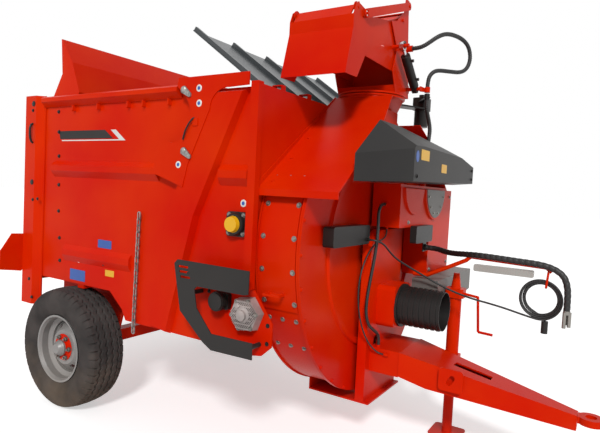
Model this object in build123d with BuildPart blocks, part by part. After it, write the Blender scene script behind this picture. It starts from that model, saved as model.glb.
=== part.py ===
"""Trailed straw blower: hopper with a floor conveyor, feed rotor, blower drum and swivelling chute.

Millimetres. +X points forward to the drawbar, +Y to the machine's left, +Z up.
The origin is on the ground, below the middle of the machine's length.
"""

import os
from math import atan2, cos, degrees, hypot, pi, radians, sin, tan

from build123d import *

os.makedirs("parts", exist_ok=True)

# Overall reach, measured from the wheel axle
front_reach = 2962.0
rear_reach = 602.0
axle_x = -(front_reach - rear_reach) / 2

# Wheels
tyre_radius = 380.0
tyre_width = 264.0
bead_radius = 200.0
flange_radius = 212.0
rim_width = 220.0
track_half = 848.0
hub_radius = 62.0
wheel_holes = 6
axle_size = 80.0
stub_radius = 30.0

# Hopper body
panel_y = 850.0
sheet = 5.0
floor_top = 900.0
body_bottom = 630.0
wall_top = 1967.0
rail_top = 1985.0
rail_height = 42.0
rail_width = 46.0
headboard_x = axle_x + 1430.0
post_back = 522.0
post_front = 365.0
post_top = 1998.0
post_bottom = 592.0
post_width = 60.0
front_post_back = axle_x + 1395
front_post_front = axle_x + 1450
rib_depth = 32.0

# Running gear under the hopper
beam_y = 560.0
beam_width = 60.0
beam_bottom = 640.0
beam_top = 760.0
beam_back = 500.0
bearer_width = 60.0

# Feed rotor
rotor_x = axle_x + 1327.0
rotor_z = 1270.0
rotor_tube = 70.0
rotor_tip = 195.0
rotor_gap = 14.0
tine_width = 12.0

# Blower drum
drum_radius = 838.0
drum_z = 1151.0
drum_back = axle_x + 1442.0
drum_front = axle_x + 1700.0
drum_wall = 6.0
rim_flange = 22.0

# Sloping hoods over the drum
hood_foot_z = 1456.0
hood_slope = 0.767
hood_front = axle_x + 1890.0
hood_top_y = 80.0

# Chute, swivelling on the outlet duct
chute_x = axle_x + 1590.0
chute_y = 80.0
chute_half = 190.0
ring_radius = 205.0
ring_z = 2052.0
chute_sheet = 5.0
hood_pivot = (50.0, 2492.0)
flap_pivot = (-534.0, 2385.0)
stay_pin = (113.0, 2593.0)
flap_pin = (-458.0, 2376.0)
ram_foot = (190.0, 2112.0)
ram_eye = (-50.0, 2312.0)
ram_offset = 48.0

# Front of the machine
tower_front = axle_x + 1900.0
column_front = axle_x + 1880.0
pto_z = 813.0
guard_ring_x = axle_x + 1907.0
guard_mouth_x = axle_x + 2153.0
guard_radius = 112.0

# Drawbar
bar_rear = axle_x + 1967.0
bar_tip = axle_x + 2857.0
bar_rear_top = 584.0
bar_tip_top = 420.0
bar_rear_half = 183.0
bar_tip_half = 37.0
bar_plate = 8.0
eye_x = axle_x + 2904.0
eye_z = 400.0
eye_bore = 26.0
eye_radius = front_reach - 2904.0
eye_thick = 34.0

# Parking jack, on the left of the drawbar
jack_x = axle_x + 2128.0
jack_y = 300.0
jack_outer = 38.0
jack_inner = 30.0
jack_top = 1000.0
jack_tube_bottom = 260.0
jack_fit = 0.6
foot_size = 190.0
foot_plate = 8.0


def from_axle(*points):
    """Side-view points given as (distance ahead of the axle, height)."""
    return [(axle_x + ahead, height) for ahead, height in points]


def other_side(piece, label):
    """The same piece on the machine's left, mirrored across the centre line."""
    with BuildPart() as mirrored:
        mirror(piece, about=Plane.XZ)
    mirrored.part.label = label
    return mirrored.part


def both_sides(piece):
    """The piece and its mirror image across the centre line, as two solids of one part."""
    with BuildPart() as pair:
        add(piece)
        mirror(piece, about=Plane.XZ)
    return pair.part


def keep(part, label):
    """Label a finished piece and write it to its own file."""
    part.label = label
    export_step(part, f"parts/{label}.step")


# Tyre: half its section runs from the bead round the sidewall to the crown
with BuildPart() as tyre_right:
    half = tyre_width / 2
    bead_half = rim_width / 2 - 18
    with BuildSketch(Plane.XY) as tyre_section:
        with BuildLine():
            Polyline((bead_radius, -bead_half), (bead_radius, bead_half), (flange_radius + 8, 0.80 * half))
            ThreePointArc(
                (flange_radius + 8, 0.80 * half), (tyre_radius - 105, half), (tyre_radius - 38, 0.88 * half)
            )
            Polyline((tyre_radius - 38, 0.88 * half), (tyre_radius - 12, 0.78 * half))
            ThreePointArc((tyre_radius - 12, 0.78 * half), (tyre_radius, 0), (tyre_radius - 12, -0.78 * half))
            Polyline((tyre_radius - 12, -0.78 * half), (tyre_radius - 38, -0.88 * half))
            ThreePointArc(
                (tyre_radius - 38, -0.88 * half), (tyre_radius - 105, -half), (flange_radius + 8, -0.80 * half)
            )
            Polyline((flange_radius + 8, -0.80 * half), (bead_radius, -bead_half))
        make_face()
    revolve(axis=Axis.Y)
tyre_right = tyre_right.part.moved(Location((axle_x, -track_half, tyre_radius)))
keep(tyre_right, "tyre_right")
keep(other_side(tyre_right, "tyre_left"), "tyre_left")

# Rim: rolled well with two flanges, a dished disc with hand holes, and the hub
with BuildPart() as rim_right:
    rim_half = rim_width / 2
    well = bead_radius - 26
    with BuildSketch(Plane.XY):
        with BuildLine():
            Polyline(
                (flange_radius, -rim_half),
                (bead_radius - 0.5, -rim_half + 14),
                (bead_radius - 0.5, -45),
                (well, -30),
                (well, 30),
                (bead_radius - 0.5, 45),
                (bead_radius - 0.5, rim_half - 14),
                (flange_radius, rim_half),
                (flange_radius - 12, rim_half),
                (bead_radius - 9, rim_half - 18),
                (bead_radius - 9, 50),
                (well - 8, 34),
                (well - 8, -34),
                (bead_radius - 9, -50),
                (bead_radius - 9, -rim_half + 18),
                (flange_radius - 12, -rim_half),
                close=True,
            )
        make_face()
    revolve(axis=Axis.Y)
    with BuildSketch(Plane.XY):
        with BuildLine():
            Polyline(
                (well - 6, -16),
                (150, -30),
                (110, -62),
                (hub_radius + 22, -62),
                (hub_radius + 22, -54),
                (106, -54),
                (146, -20),
                (well - 6, -6),
                close=True,
            )
        make_face()
    revolve(axis=Axis.Y)
    with BuildSketch(Plane.XY):
        with BuildLine():
            Polyline(
                (stub_radius + 0.05, 60),
                (stub_radius + 0.05, -96),
                (0, -96),
                (0, -118),
                (30, -118),
                (42, -104),
                (hub_radius - 12, -92),
                (hub_radius - 12, -64),
                (hub_radius + 24, -64),
                (hub_radius + 24, -50),
                (hub_radius, -44),
                (hub_radius, 60),
                close=True,
            )
        make_face()
    revolve(axis=Axis.Y)
    with PolarLocations(0, 1):
        with BuildSketch(Plane.XZ.offset(0)):
            with PolarLocations(137, wheel_holes):
                SlotOverall(46, 30, rotation=90)
        extrude(amount=120, mode=Mode.SUBTRACT)
rim_right = rim_right.part.moved(Location((axle_x, -track_half, tyre_radius)))
keep(rim_right, "rim_right")
keep(other_side(rim_right, "rim_left"), "rim_left")


# Axle beam, its stub ends and the two pedestals under the hopper frame
with BuildPart() as axle_beam:
    beam_half = track_half - 70
    with BuildSketch(Plane.XZ.offset(-beam_half)):
        with Locations((axle_x, tyre_radius)):
            Rectangle(axle_size, axle_size)
    extrude(amount=2 * beam_half)
    for side in (-1, 1):
        with BuildSketch(Plane.XZ.offset(side * (track_half - 90))):
            with Locations((axle_x, tyre_radius)):
                Circle(stub_radius)
        extrude(amount=side * 180)
        with BuildSketch(Plane.XZ.offset(side * beam_y)):
            with BuildLine():
                Polyline(
                    *from_axle((-150, beam_bottom), (150, beam_bottom), (60, tyre_radius - 52), (-60, tyre_radius - 52)),
                    close=True,
                )
            make_face()
            with Locations((axle_x, tyre_radius)):
                Rectangle(axle_size, axle_size, mode=Mode.SUBTRACT)
        extrude(amount=12, both=True)
keep(axle_beam.part, "axle_beam")

# Hinge line of the tailgate and half its width
gate_hinge = (-545.0, 800.0)
gate_half = panel_y - sheet - 12

# Frame under the hopper: two box beams with lugs at their rear ends for the tailgate's hinge bar
hinge_bar = 15.0
pin_fit = 0.05
with BuildPart() as chassis_beams:
    for side in (-1, 1):
        with BuildSketch(Plane.YZ.offset(axle_x - beam_back)):
            with Locations((side * beam_y, (beam_bottom + beam_top) / 2)):
                Rectangle(beam_width, beam_top - beam_bottom)
                Rectangle(beam_width - 10, beam_top - beam_bottom - 10, mode=Mode.SUBTRACT)
        extrude(amount=beam_back + headboard_x - axle_x - 2)
        with BuildSketch(Plane.XZ.offset(side * beam_y - 8)):
            with BuildLine():
                Polyline(
                    *from_axle(
                        (gate_hinge[0] - 22, gate_hinge[1] + 12),
                        (gate_hinge[0] + 22, gate_hinge[1] + 22),
                        (-beam_back + 4, beam_top - 4),
                        (-beam_back + 4, beam_bottom + 10),
                        (gate_hinge[0] - 10, gate_hinge[1] - 60),
                    ),
                    close=True,
                )
            make_face()
            with Locations(*from_axle(gate_hinge)):
                Circle(hinge_bar + pin_fit, mode=Mode.SUBTRACT)
        extrude(amount=16)
keep(chassis_beams.part, "chassis_beams")

# Four bearers across the beams, which carry the floor
bearer_stations = [-430.0, 60.0, 620.0, 1180.0]
with BuildPart() as cross_bearers:
    for station in bearer_stations:
        with BuildSketch(Plane.XZ.offset(panel_y - sheet - 1)):
            with Locations((axle_x + station, (beam_top + floor_top - sheet) / 2)):
                Rectangle(bearer_width, floor_top - sheet - beam_top)
        extrude(amount=-2 * (panel_y - sheet - 1))
keep(cross_bearers.part, "cross_bearers")

# Bar on which the tailgate hinges
with BuildPart() as gate_hinge_bar:
    with BuildSketch(Plane.XZ.offset(gate_half)):
        with Locations(*from_axle(gate_hinge)):
            Circle(hinge_bar)
    extrude(amount=-2 * gate_half)
keep(gate_hinge_bar.part, "gate_hinge_bar")

# Hopper floor
with BuildPart() as hopper_floor:
    with BuildSketch(Plane.XY.offset(floor_top - sheet)):
        with Locations(((axle_x - beam_back + headboard_x) / 2, 0)):
            Rectangle(headboard_x - axle_x + beam_back - 2, 2 * (panel_y - sheet - 1))
    extrude(amount=sheet)
keep(hopper_floor.part, "hopper_floor")

# Floor conveyor: four chains in guide strips, joined by channel slats
conveyor_chains = [-600.0, -200.0, 200.0, 600.0]
slat_pitch = 210.0
slat_count = 8
with BuildPart() as floor_conveyor:
    conveyor_back = axle_x - 440
    conveyor_length = 1640.0
    for lane in conveyor_chains:
        with BuildSketch(Plane.XY.offset(floor_top)):
            with Locations((conveyor_back + conveyor_length / 2, lane)):
                Rectangle(conveyor_length, 26)
        extrude(amount=16)
    for index in range(slat_count):
        with BuildSketch(Plane.XY.offset(floor_top + 16)):
            with Locations((conveyor_back + 60 + index * slat_pitch, 0)):
                Rectangle(40, 2 * (panel_y - 60))
        extrude(amount=22)
keep(floor_conveyor.part, "floor_conveyor")

# Side panel: flat sheet with the wheel arch, its pressed ribs and the folded foot
arch_radius = 90.0
with BuildPart() as side_panel_right:
    with BuildSketch(Plane.XZ.offset(panel_y - sheet)):
        with BuildLine():
            Polyline(
                *from_axle(
                    (-post_back + 8, post_bottom + 2),
                    (-post_front - 22, post_bottom + 2),
                    (-370, 786),
                    (352, 786),
                    (470, 690),
                    (504, body_bottom),
                    (1130, body_bottom),
                    (1434, 624),
                    (1434, wall_top - 12),
                    (-post_back + 8, wall_top - 12),
                ),
                close=True,
            )
        make_face()
        with Locations((rotor_x, rotor_z)):
            Circle(26, mode=Mode.SUBTRACT)
    extrude(amount=sheet)
    # Pressed ribs: start and end ahead of the axle, heights of the two folds and the crown
    ribs = [
        (-240.0, 748.0, 1556.0, 1504.0, rib_depth),
        (1204.0, 1392.0, 1554.0, 1500.0, rib_depth),
        (-110.0, 536.0, 1014.0, 962.0, 20.0),
    ]
    for start, end, upper, lower, depth in ribs:
        with BuildSketch(Plane.YZ.offset(axle_x + start)):
            with BuildLine():
                Polyline(
                    (-panel_y, upper + 14),
                    (-panel_y - depth, upper - 16),
                    (-panel_y - depth, lower),
                    (-panel_y, lower - 40),
                    close=True,
                )
            make_face()
        extrude(amount=end - start)
keep(both_sides(side_panel_right.part), "side_panels")

# Corner post at the rear, a folded channel open to the back
with BuildPart() as rear_post_right:
    with BuildSketch(Plane.XY.offset(post_bottom)):
        with BuildLine():
            Polyline(
                (axle_x - post_back, -panel_y - 1),
                (axle_x - post_back, -panel_y - post_width + 16),
                (axle_x - post_front - 40, -panel_y - post_width + 16),
                (axle_x - post_front, -panel_y - 8),
                (axle_x - post_front + 14, -panel_y - 8),
                (axle_x - post_front + 14, -panel_y - 1),
                close=True,
            )
        make_face()
    extrude(amount=post_top - post_bottom)
keep(both_sides(rear_post_right.part), "rear_posts")

# Rail along the top of the side wall, from the rear post to the reinforcement plate
with BuildPart() as top_rail_right:
    with BuildSketch(Plane.YZ.offset(axle_x - 346)):
        with BuildLine():
            Polyline(
                (-panel_y + sheet, wall_top - 10),
                (-panel_y + sheet, rail_top),
                (-panel_y - rail_width + 12, rail_top),
                (-panel_y - rail_width, rail_top - 10),
                (-panel_y - rail_width, rail_top - rail_height + 8),
                (-panel_y - 8, rail_top - rail_height - 22),
                (-panel_y - 1, rail_top - rail_height - 22),
                (-panel_y - 1, wall_top - 10),
                close=True,
            )
        make_face()
    extrude(amount=346 + 905)
keep(both_sides(top_rail_right.part), "top_rails")

# Front corner post: a folded angle bolted to the headboard
with BuildPart() as front_post_right:
    with BuildSketch(Plane.XY.offset(956)):
        with BuildLine():
            Polyline(
                (front_post_back, -panel_y - 1),
                (front_post_back + 8, -panel_y - 40),
                (front_post_front, -panel_y - 40),
                (front_post_front, -panel_y - 1),
                close=True,
            )
        make_face()
    extrude(amount=wall_top + 6 - 956)
keep(both_sides(front_post_right.part), "front_posts")

# Diagonal brace: a deep pressed channel under a plate with two curved cut-outs
brace_depth = 36.0
brace_plate = 7.0
with BuildPart() as side_brace_right:
    with BuildSketch(Plane.XZ.offset(panel_y + 1)):
        with BuildLine():
            Polyline(
                *from_axle((728, 648), (884, 626), (1062, 1290), (1368, 1944), (1120, 1944), (846, 1290)), close=True
            )
        make_face()
    extrude(amount=brace_depth, taper=20)
    with BuildSketch(Plane.XZ.offset(panel_y + brace_depth - 1)):
        with BuildLine():
            Polyline(*from_axle((906, 1976), (914, 2020), (1390, 2020)))
            Line(*from_axle((1390, 2020), (1390, 1956)))
            Line(*from_axle((1390, 1956), (1262, 1952)))
            ThreePointArc(*from_axle((1262, 1952), (1176, 1924), (1140, 1846)))
            Polyline(*from_axle((1140, 1846), (1000, 1560), (968, 1440)))
            ThreePointArc(*from_axle((968, 1440), (850, 1478), (752, 1506)))
            Line(*from_axle((752, 1506), (752, 1600)))
            ThreePointArc(*from_axle((752, 1600), (790, 1664), (880, 1676)))
            ThreePointArc(*from_axle((880, 1676), (1006, 1800), (958, 1930)))
            Line(*from_axle((958, 1930), (906, 1976)))
        make_face()
    extrude(amount=brace_plate)
keep(both_sides(side_brace_right.part), "side_braces")

# Headboard with the opening through which the rotor feeds the blower
window_half = 690.0
window_low = 1030.0
window_high = 1470.0
with BuildPart() as headboard:
    with BuildSketch(Plane.YZ.offset(headboard_x)):
        with Locations((0, (floor_top - sheet + wall_top) / 2)):
            Rectangle(2 * (panel_y - sheet - 1), wall_top - floor_top + sheet)
        with Locations((0, (window_low + window_high) / 2)):
            RectangleRounded(2 * window_half, window_high - window_low, 60, mode=Mode.SUBTRACT)
    extrude(amount=sheet)
keep(headboard.part, "headboard")

# Feed rotor: a tube with rows of tines, on stub shafts through both side walls
rotor_half = panel_y - sheet - rotor_gap
tine_rows = 6
tine_stations = [-630.0 + 105.0 * index for index in range(13)]
tine_outline = [(0, -34), (rotor_tube + 40, -30), (rotor_tip, -8), (rotor_tip, 8), (rotor_tube + 40, 30), (0, 34)]
with BuildPart() as feed_rotor:
    with BuildSketch(Plane.XZ.offset(-rotor_half)):
        Circle(rotor_tube)
    extrude(amount=2 * rotor_half)
    with BuildSketch(Plane.XZ.offset(-panel_y - 20)):
        Circle(24.95)
    extrude(amount=2 * panel_y + 40)
    for station in tine_stations:
        with BuildSketch(Plane.XZ.offset(station)):
            with PolarLocations(0, tine_rows // 2):
                Polygon(*tine_outline, align=None)
        extrude(amount=tine_width / 2, both=True)
feed_rotor = feed_rotor.part.moved(Location((rotor_x, 0, rotor_z)))
keep(feed_rotor, "feed_rotor")

# Rotor bearing: a square flange housing with its cap, on the outside of the side wall
with BuildPart() as rotor_bearing_right:
    with BuildSketch(Plane.XZ.offset(panel_y + 1)):
        with Locations((rotor_x, rotor_z)):
            RectangleRounded(124, 124, 18)
            Circle(26, mode=Mode.SUBTRACT)
    extrude(amount=16)
    with BuildSketch(Plane.XZ.offset(panel_y + 17)):
        with Locations((rotor_x, rotor_z)):
            Circle(50)
            Circle(26, mode=Mode.SUBTRACT)
    extrude(amount=24)
    with BuildSketch(Plane.XZ.offset(panel_y + 41)):
        with Locations((rotor_x, rotor_z)):
            Circle(42)
    extrude(amount=22, taper=12)
keep(both_sides(rotor_bearing_right.part), "rotor_bearings")

# Lower side plate that carries the conveyor drive, below and ahead of the front post
with BuildPart() as drive_plate_right:
    with BuildSketch(Plane.XZ.offset(panel_y + 1)):
        with BuildLine():
            Polyline(
                *from_axle((1130, 634), (1441, 622), (1514, 634), (1572, 686), (1572, 800), (1456, 950), (1130, 950)),
                close=True,
            )
        make_face()
        with Locations((axle_x + 1428, 832)):
            Circle(30, mode=Mode.SUBTRACT)
    extrude(amount=7)
keep(both_sides(drive_plate_right.part), "drive_plates")

# Conveyor gearbox: a six-sided casting with cooling fins and a round cover
with BuildPart() as conveyor_gearbox:
    with BuildSketch(Plane.XZ.offset(panel_y + 9)):
        with Locations((axle_x + 1428, 832)):
            RegularPolygon(94, 6, rotation=8)
    extrude(amount=44, taper=8)
    for index in range(7):
        with BuildSketch(Plane.XZ.offset(panel_y + 9)):
            with Locations((axle_x + 1428, 832 - 66 + 22 * index)):
                Rectangle(124 - 14 * abs(index - 3), 7)
        extrude(amount=52)
    with BuildSketch(Plane.XZ.offset(panel_y + 9)):
        with Locations((axle_x + 1428, 832)):
            Circle(26)
    extrude(amount=70)
keep(conveyor_gearbox.part, "conveyor_gearbox")

# Hydraulic motor beside the gearbox, with its ribbed end
with BuildPart() as hydraulic_motor:
    with BuildSketch(Plane.XZ.offset(panel_y + 9)):
        with Locations((axle_x + 1262, 874)):
            RectangleRounded(104, 84, 14)
    extrude(amount=26)
    with BuildSketch(Plane.XZ.offset(panel_y + 35)):
        with Locations((axle_x + 1262, 874)):
            Circle(44)
    extrude(amount=44)
    for index in range(3):
        with BuildSketch(Plane.XZ.offset(panel_y + 40 + 13 * index)):
            with Locations((axle_x + 1262, 874)):
                Circle(49)
        extrude(amount=6)
keep(hydraulic_motor.part, "hydraulic_motor")

# C-shaped plastic guard in front of the conveyor drive, on three spacers
with BuildPart() as drive_guard_right:
    with BuildSketch(Plane.XZ.offset(966)):
        with BuildLine():
            Polyline(
                *from_axle(
                    (1014, 1046),
                    (1036, 1068),
                    (1505, 1064),
                    (1503, 952),
                    (1480, 946),
                    (1176, 946),
                    (1160, 930),
                    (1180, 836),
                    (1284, 724),
                    (1539, 727),
                    (1541, 647),
                    (1286, 642),
                    (1230, 672),
                    (1066, 806),
                ),
                close=True,
            )
        make_face()
        with Locations(*from_axle((1078, 1034), (1086, 1008), (1094, 982))):
            SlotOverall(70, 12, mode=Mode.SUBTRACT)
    extrude(amount=5)
    with BuildSketch(Plane.XZ.offset(panel_y + 8)):
        with Locations(*from_axle((1110, 900), (1500, 690), (1110, 1000))):
            Circle(12)
    extrude(amount=966 - panel_y - 8)
keep(drive_guard_right.part, "drive_guard_right")

# Tailgate: a bowed door with a boxed top lip, hinged below the floor's rear end
gate_outer = [(-552, 836), (-562, 1000), (-552, 1300), (-500, 1600), (-330, 1960), (-296, 2010), (-214, 2140), (-232, 2366)]
gate_inner = [(-224, 2366), (-110, 2206), (-30, 2010), (-60, 1940), (-330, 1800), (-490, 1580), (-543, 1296), (-553, 1000), (-543, 836)]
gate_hollow = [(-214, 2330), (-122, 2196), (-44, 2010), (-72, 1950), (-322, 1820), (-322, 1956), (-290, 2004), (-205, 2138)]
gate_ribs = [-620.0, -210.0, 210.0, 620.0]
with BuildPart() as tailgate:
    with BuildSketch(Plane.XZ.offset(gate_half)):
        with BuildLine():
            Polyline(*from_axle(*gate_outer, *gate_inner), close=True)
        make_face()
    extrude(amount=-2 * gate_half)
    with BuildSketch(Plane.XZ.offset(gate_half - 6)):
        with BuildLine():
            Polyline(*from_axle(*gate_hollow), close=True)
        make_face()
    extrude(amount=-2 * (gate_half - 6), mode=Mode.SUBTRACT)
    for rib_y in gate_ribs:
        with BuildSketch(Plane.XZ.offset(rib_y + 25)):
            with BuildLine():
                Polyline(
                    *from_axle(
                        (-560, 850),
                        (-rear_reach, 900),
                        (-rear_reach, 1290),
                        (-560, 1580),
                        (-400, 1900),
                        (-340, 1944),
                        (-500, 1600),
                        (-552, 1300),
                        (-560, 1000),
                    ),
                    close=True,
                )
            make_face()
        extrude(amount=-50)
        with BuildSketch(Plane.XZ.offset(rib_y + 30)):
            with Locations(*from_axle(gate_hinge)):
                Circle(26)
                Circle(hinge_bar + pin_fit, mode=Mode.SUBTRACT)
        extrude(amount=-60)
        with BuildSketch(Plane.XZ.offset(rib_y + 30)):
            with Locations(*from_axle((gate_hinge[0] - 5, gate_hinge[1] + 36))):
                Rectangle(24, 24)
        extrude(amount=-60)
keep(tailgate.part, "tailgate")

# Lamp boards that reach out beside the rear posts, and their lamps
with BuildPart() as lamp_board_right:
    with BuildSketch(Plane.YZ.offset(axle_x - post_back - 8)):
        with BuildLine():
            Polyline(
                (-panel_y - 6, 988), (-panel_y - 30, 1062), (-970, 1066), (-1044, 952), (-1046, 826), (-900, 804), (-panel_y - 6, 866),
                close=True,
            )
        make_face()
    extrude(amount=7)
keep(both_sides(lamp_board_right.part), "lamp_boards")
with BuildPart() as rear_lamp_right:
    with BuildSketch(Plane.YZ.offset(axle_x - post_back - 9)):
        with Locations((-955, 900)):
            RectangleRounded(150, 110, 14)
    extrude(amount=-44)
    fillet(rear_lamp_right.faces().sort_by(Axis.X)[0].edges(), 8)
keep(both_sides(rear_lamp_right.part), "rear_lamps")

# Blower drum: a short wide cylinder whose upper flanks run flat under the sloping hoods
duct_half_y = 185.0
duct_back = drum_back + drum_wall + 1
duct_front = drum_front - 4
duct_top = 1978.0
roof_slack = 14.0


def hood_height(out):
    """Height of the hood's top face at a distance out from the centre line."""
    return hood_foot_z + hood_slope * (panel_y - out)


def under_hoods(drop):
    """Outline (across, up) of all that lies at least drop below both hoods."""
    low = drum_z - drum_radius - 100
    foot = hood_height(1000) - drop
    return [(-1000, low), (1000, low), (1000, foot), (0, hood_height(0) - drop), (-1000, foot)]


with BuildPart() as drum_shell:
    with BuildSketch(Plane.YZ.offset(drum_back)):
        with Locations((0, drum_z)):
            Circle(drum_radius)
        Polygon(*under_hoods(roof_slack), align=None, mode=Mode.INTERSECT)
    extrude(amount=drum_front - drum_back)
    with BuildSketch(Plane.YZ.offset(drum_back + drum_wall)):
        with Locations((0, drum_z)):
            Circle(drum_radius - drum_wall)
        Polygon(*under_hoods(roof_slack + 7.5), align=None, mode=Mode.INTERSECT)
    extrude(amount=drum_front - drum_back, mode=Mode.SUBTRACT)
    with BuildSketch(Plane.YZ.offset(drum_back)):
        with Locations((0, (window_low + window_high) / 2)):
            RectangleRounded(2 * window_half - 60, window_high - window_low - 20, 60)
    extrude(amount=drum_wall, mode=Mode.SUBTRACT)
    # Rolled flanges at the two rims: how far ahead each starts and how far it stands out
    for station, stand in ((drum_back, 8.0), (drum_front - 10, rim_flange)):
        with BuildSketch(Plane.YZ.offset(station)):
            with Locations((0, drum_z)):
                Circle(drum_radius + stand)
                Circle(drum_radius - 1, mode=Mode.SUBTRACT)
            Polygon(*under_hoods(roof_slack), align=None, mode=Mode.INTERSECT)
        extrude(amount=10)
    with BuildSketch(Plane.XY.offset(drum_z + drum_radius - 130)):
        with Locations(((duct_back + duct_front) / 2, chute_y)):
            Rectangle(duct_front - duct_back, 2 * duct_half_y)
    extrude(amount=300, mode=Mode.SUBTRACT)
    with BuildSketch(Plane.XY.offset(duct_top - 4)):
        with Locations(((drum_back + drum_front) / 2, chute_y)):
            Rectangle(drum_front - drum_back + 4, 2 * duct_half_y + 20)
    extrude(amount=300, mode=Mode.SUBTRACT)
keep(drum_shell.part, "drum_shell")

# Front plate of the drum, with the pressed swage round its middle
with BuildPart() as drum_front_plate:
    with BuildSketch(Plane.YZ.offset(drum_front + 1)):
        with Locations((0, drum_z)):
            Circle(drum_radius + rim_flange)
        Polygon(*under_hoods(roof_slack), align=None, mode=Mode.INTERSECT)
        with Locations((chute_y, duct_top + 96)):
            Rectangle(2 * duct_half_y + 20, 200, mode=Mode.SUBTRACT)
    extrude(amount=8)
    with BuildSketch(Plane.YZ.offset(drum_front + 9)):
        with Locations((0, drum_z)):
            Circle(600)
            Circle(560, mode=Mode.SUBTRACT)
    extrude(amount=14, taper=20)
keep(drum_front_plate.part, "drum_front_plate")

# Access hatch on the drum's right flank, bent to its curve, with a grab handle
hatch_low = -20.0
hatch_high = 19.0
hatch_reach = drum_radius + 300
with BuildPart() as drum_hatch:
    with BuildSketch(Plane.YZ.offset(drum_back + 24)):
        with Locations((0, drum_z)):
            Circle(drum_radius + 8)
            Circle(drum_radius + 1, mode=Mode.SUBTRACT)
        Polygon(
            (0, drum_z),
            (-hatch_reach, drum_z + hatch_reach * tan(radians(hatch_high))),
            (-hatch_reach, drum_z + hatch_reach * tan(radians(hatch_low))),
            align=None,
            mode=Mode.INTERSECT,
        )
    extrude(amount=drum_front - drum_back - 48)
    with BuildSketch(Plane.XY.offset(938)):
        with Locations((drum_back + 120, -drum_radius - 6)):
            Rectangle(96, 56)
            Rectangle(76, 40, mode=Mode.SUBTRACT)
    extrude(amount=10)
keep(drum_hatch.part, "drum_hatch")

# Outlet duct: a box on top of the drum that turns round at the swivel ring
with BuildPart() as outlet_duct:
    with BuildSketch(Plane.XY.offset(drum_z + drum_radius - 120)):
        with Locations(((duct_back + duct_front) / 2, chute_y)):
            Rectangle(duct_front - duct_back - 2, 2 * duct_half_y - 2)
            Rectangle(duct_front - duct_back - 12, 2 * duct_half_y - 12, mode=Mode.SUBTRACT)
    extrude(amount=duct_top - drum_z - drum_radius + 120)
    with BuildSketch(Plane.XY.offset(duct_top)):
        with Locations(((duct_back + duct_front) / 2, chute_y)):
            RectangleRounded(duct_front - duct_back - 2, 2 * duct_half_y - 2, 12)
    with BuildSketch(Plane.XY.offset(ring_z - 16)):
        with Locations((chute_x, chute_y)):
            RectangleRounded(2 * chute_half - 10, 2 * chute_half - 10, 150)
    loft()
    with BuildSketch(Plane.XY.offset(duct_top)):
        with Locations(((duct_back + duct_front) / 2, chute_y)):
            RectangleRounded(duct_front - duct_back - 12, 2 * duct_half_y - 12, 7)
    with BuildSketch(Plane.XY.offset(ring_z - 16)):
        with Locations((chute_x, chute_y)):
            RectangleRounded(2 * chute_half - 22, 2 * chute_half - 22, 144)
    loft(mode=Mode.SUBTRACT)
    with BuildSketch(Plane.XY.offset(ring_z - 16)):
        with Locations((chute_x, chute_y)):
            Circle(ring_radius)
            Circle(chute_half - 14, mode=Mode.SUBTRACT)
    extrude(amount=10)
keep(outlet_duct.part, "outlet_duct")

# Sloping hood over each side of the drum, with its folded foot and the flange along the headboard


def build_hood(top_out):
    """One sloping hood on the right side, reaching up to top_out from the centre line."""
    with BuildPart() as hood:
        with BuildSketch(Plane.YZ.offset(headboard_x + sheet + 1)):
            with BuildLine():
                Polyline(
                    (-panel_y, hood_height(panel_y) - 34),
                    (-panel_y, hood_height(panel_y)),
                    (-top_out, hood_height(top_out)),
                    (-top_out + 4, hood_height(top_out) - 2),
                    (-panel_y + 5, hood_height(panel_y) - 5),
                    (-panel_y + 5, hood_height(panel_y) - 34),
                    close=True,
                )
            make_face()
        extrude(amount=hood_front - headboard_x - sheet - 1)
        with BuildSketch(Plane.YZ.offset(headboard_x + sheet + 1)):
            with BuildLine():
                Polyline(
                    (-panel_y, hood_height(panel_y)),
                    (-panel_y, hood_height(panel_y) + 34),
                    (-top_out, hood_height(top_out) + 6),
                    (-top_out, hood_height(top_out)),
                    close=True,
                )
            make_face()
        extrude(amount=5)
        with BuildSketch(Plane.XY.offset(hood_foot_z)):
            with BuildLine():
                Polyline((hood_front, -440), (hood_front - 92, -60), (hood_front + 10, -60), close=True)
            make_face()
        extrude(amount=800, mode=Mode.SUBTRACT)
    return hood.part


with BuildPart() as hoods:
    add(build_hood(duct_half_y - chute_y + 4))
    mirror(build_hood(duct_half_y + chute_y + 4), about=Plane.XZ)
keep(hoods.part, "hoods")

# Ribbed plastic sheet that rises rearwards over the rotor: its section is cut across the slope
cover_low = (1330.0, 1966.0)
cover_high = (815.0, 2335.0)
cover_half = 700.0
cover_thick = 5.0
cover_rise = 28.0
with BuildPart() as rotor_cover:
    cover_run = hypot(cover_low[0] - cover_high[0], cover_high[1] - cover_low[1])
    uphill = ((cover_high[0] - cover_low[0]) / cover_run, 0, (cover_high[1] - cover_low[1]) / cover_run)
    cover_plane = Plane(origin=(axle_x + cover_low[0], 0, cover_low[1]), x_dir=(0, 1, 0), z_dir=uphill)
    with BuildSketch(cover_plane):
        with Locations((0, -cover_thick / 2)):
            Rectangle(2 * cover_half, cover_thick)
        for rib_y in (-cover_half + 14, -cover_half / 2, 0, cover_half / 2, cover_half - 14):
            with Locations((rib_y, -cover_rise / 2)):
                Rectangle(20, cover_rise)
    extrude(amount=cover_run)
keep(rotor_cover.part, "rotor_cover")

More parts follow.
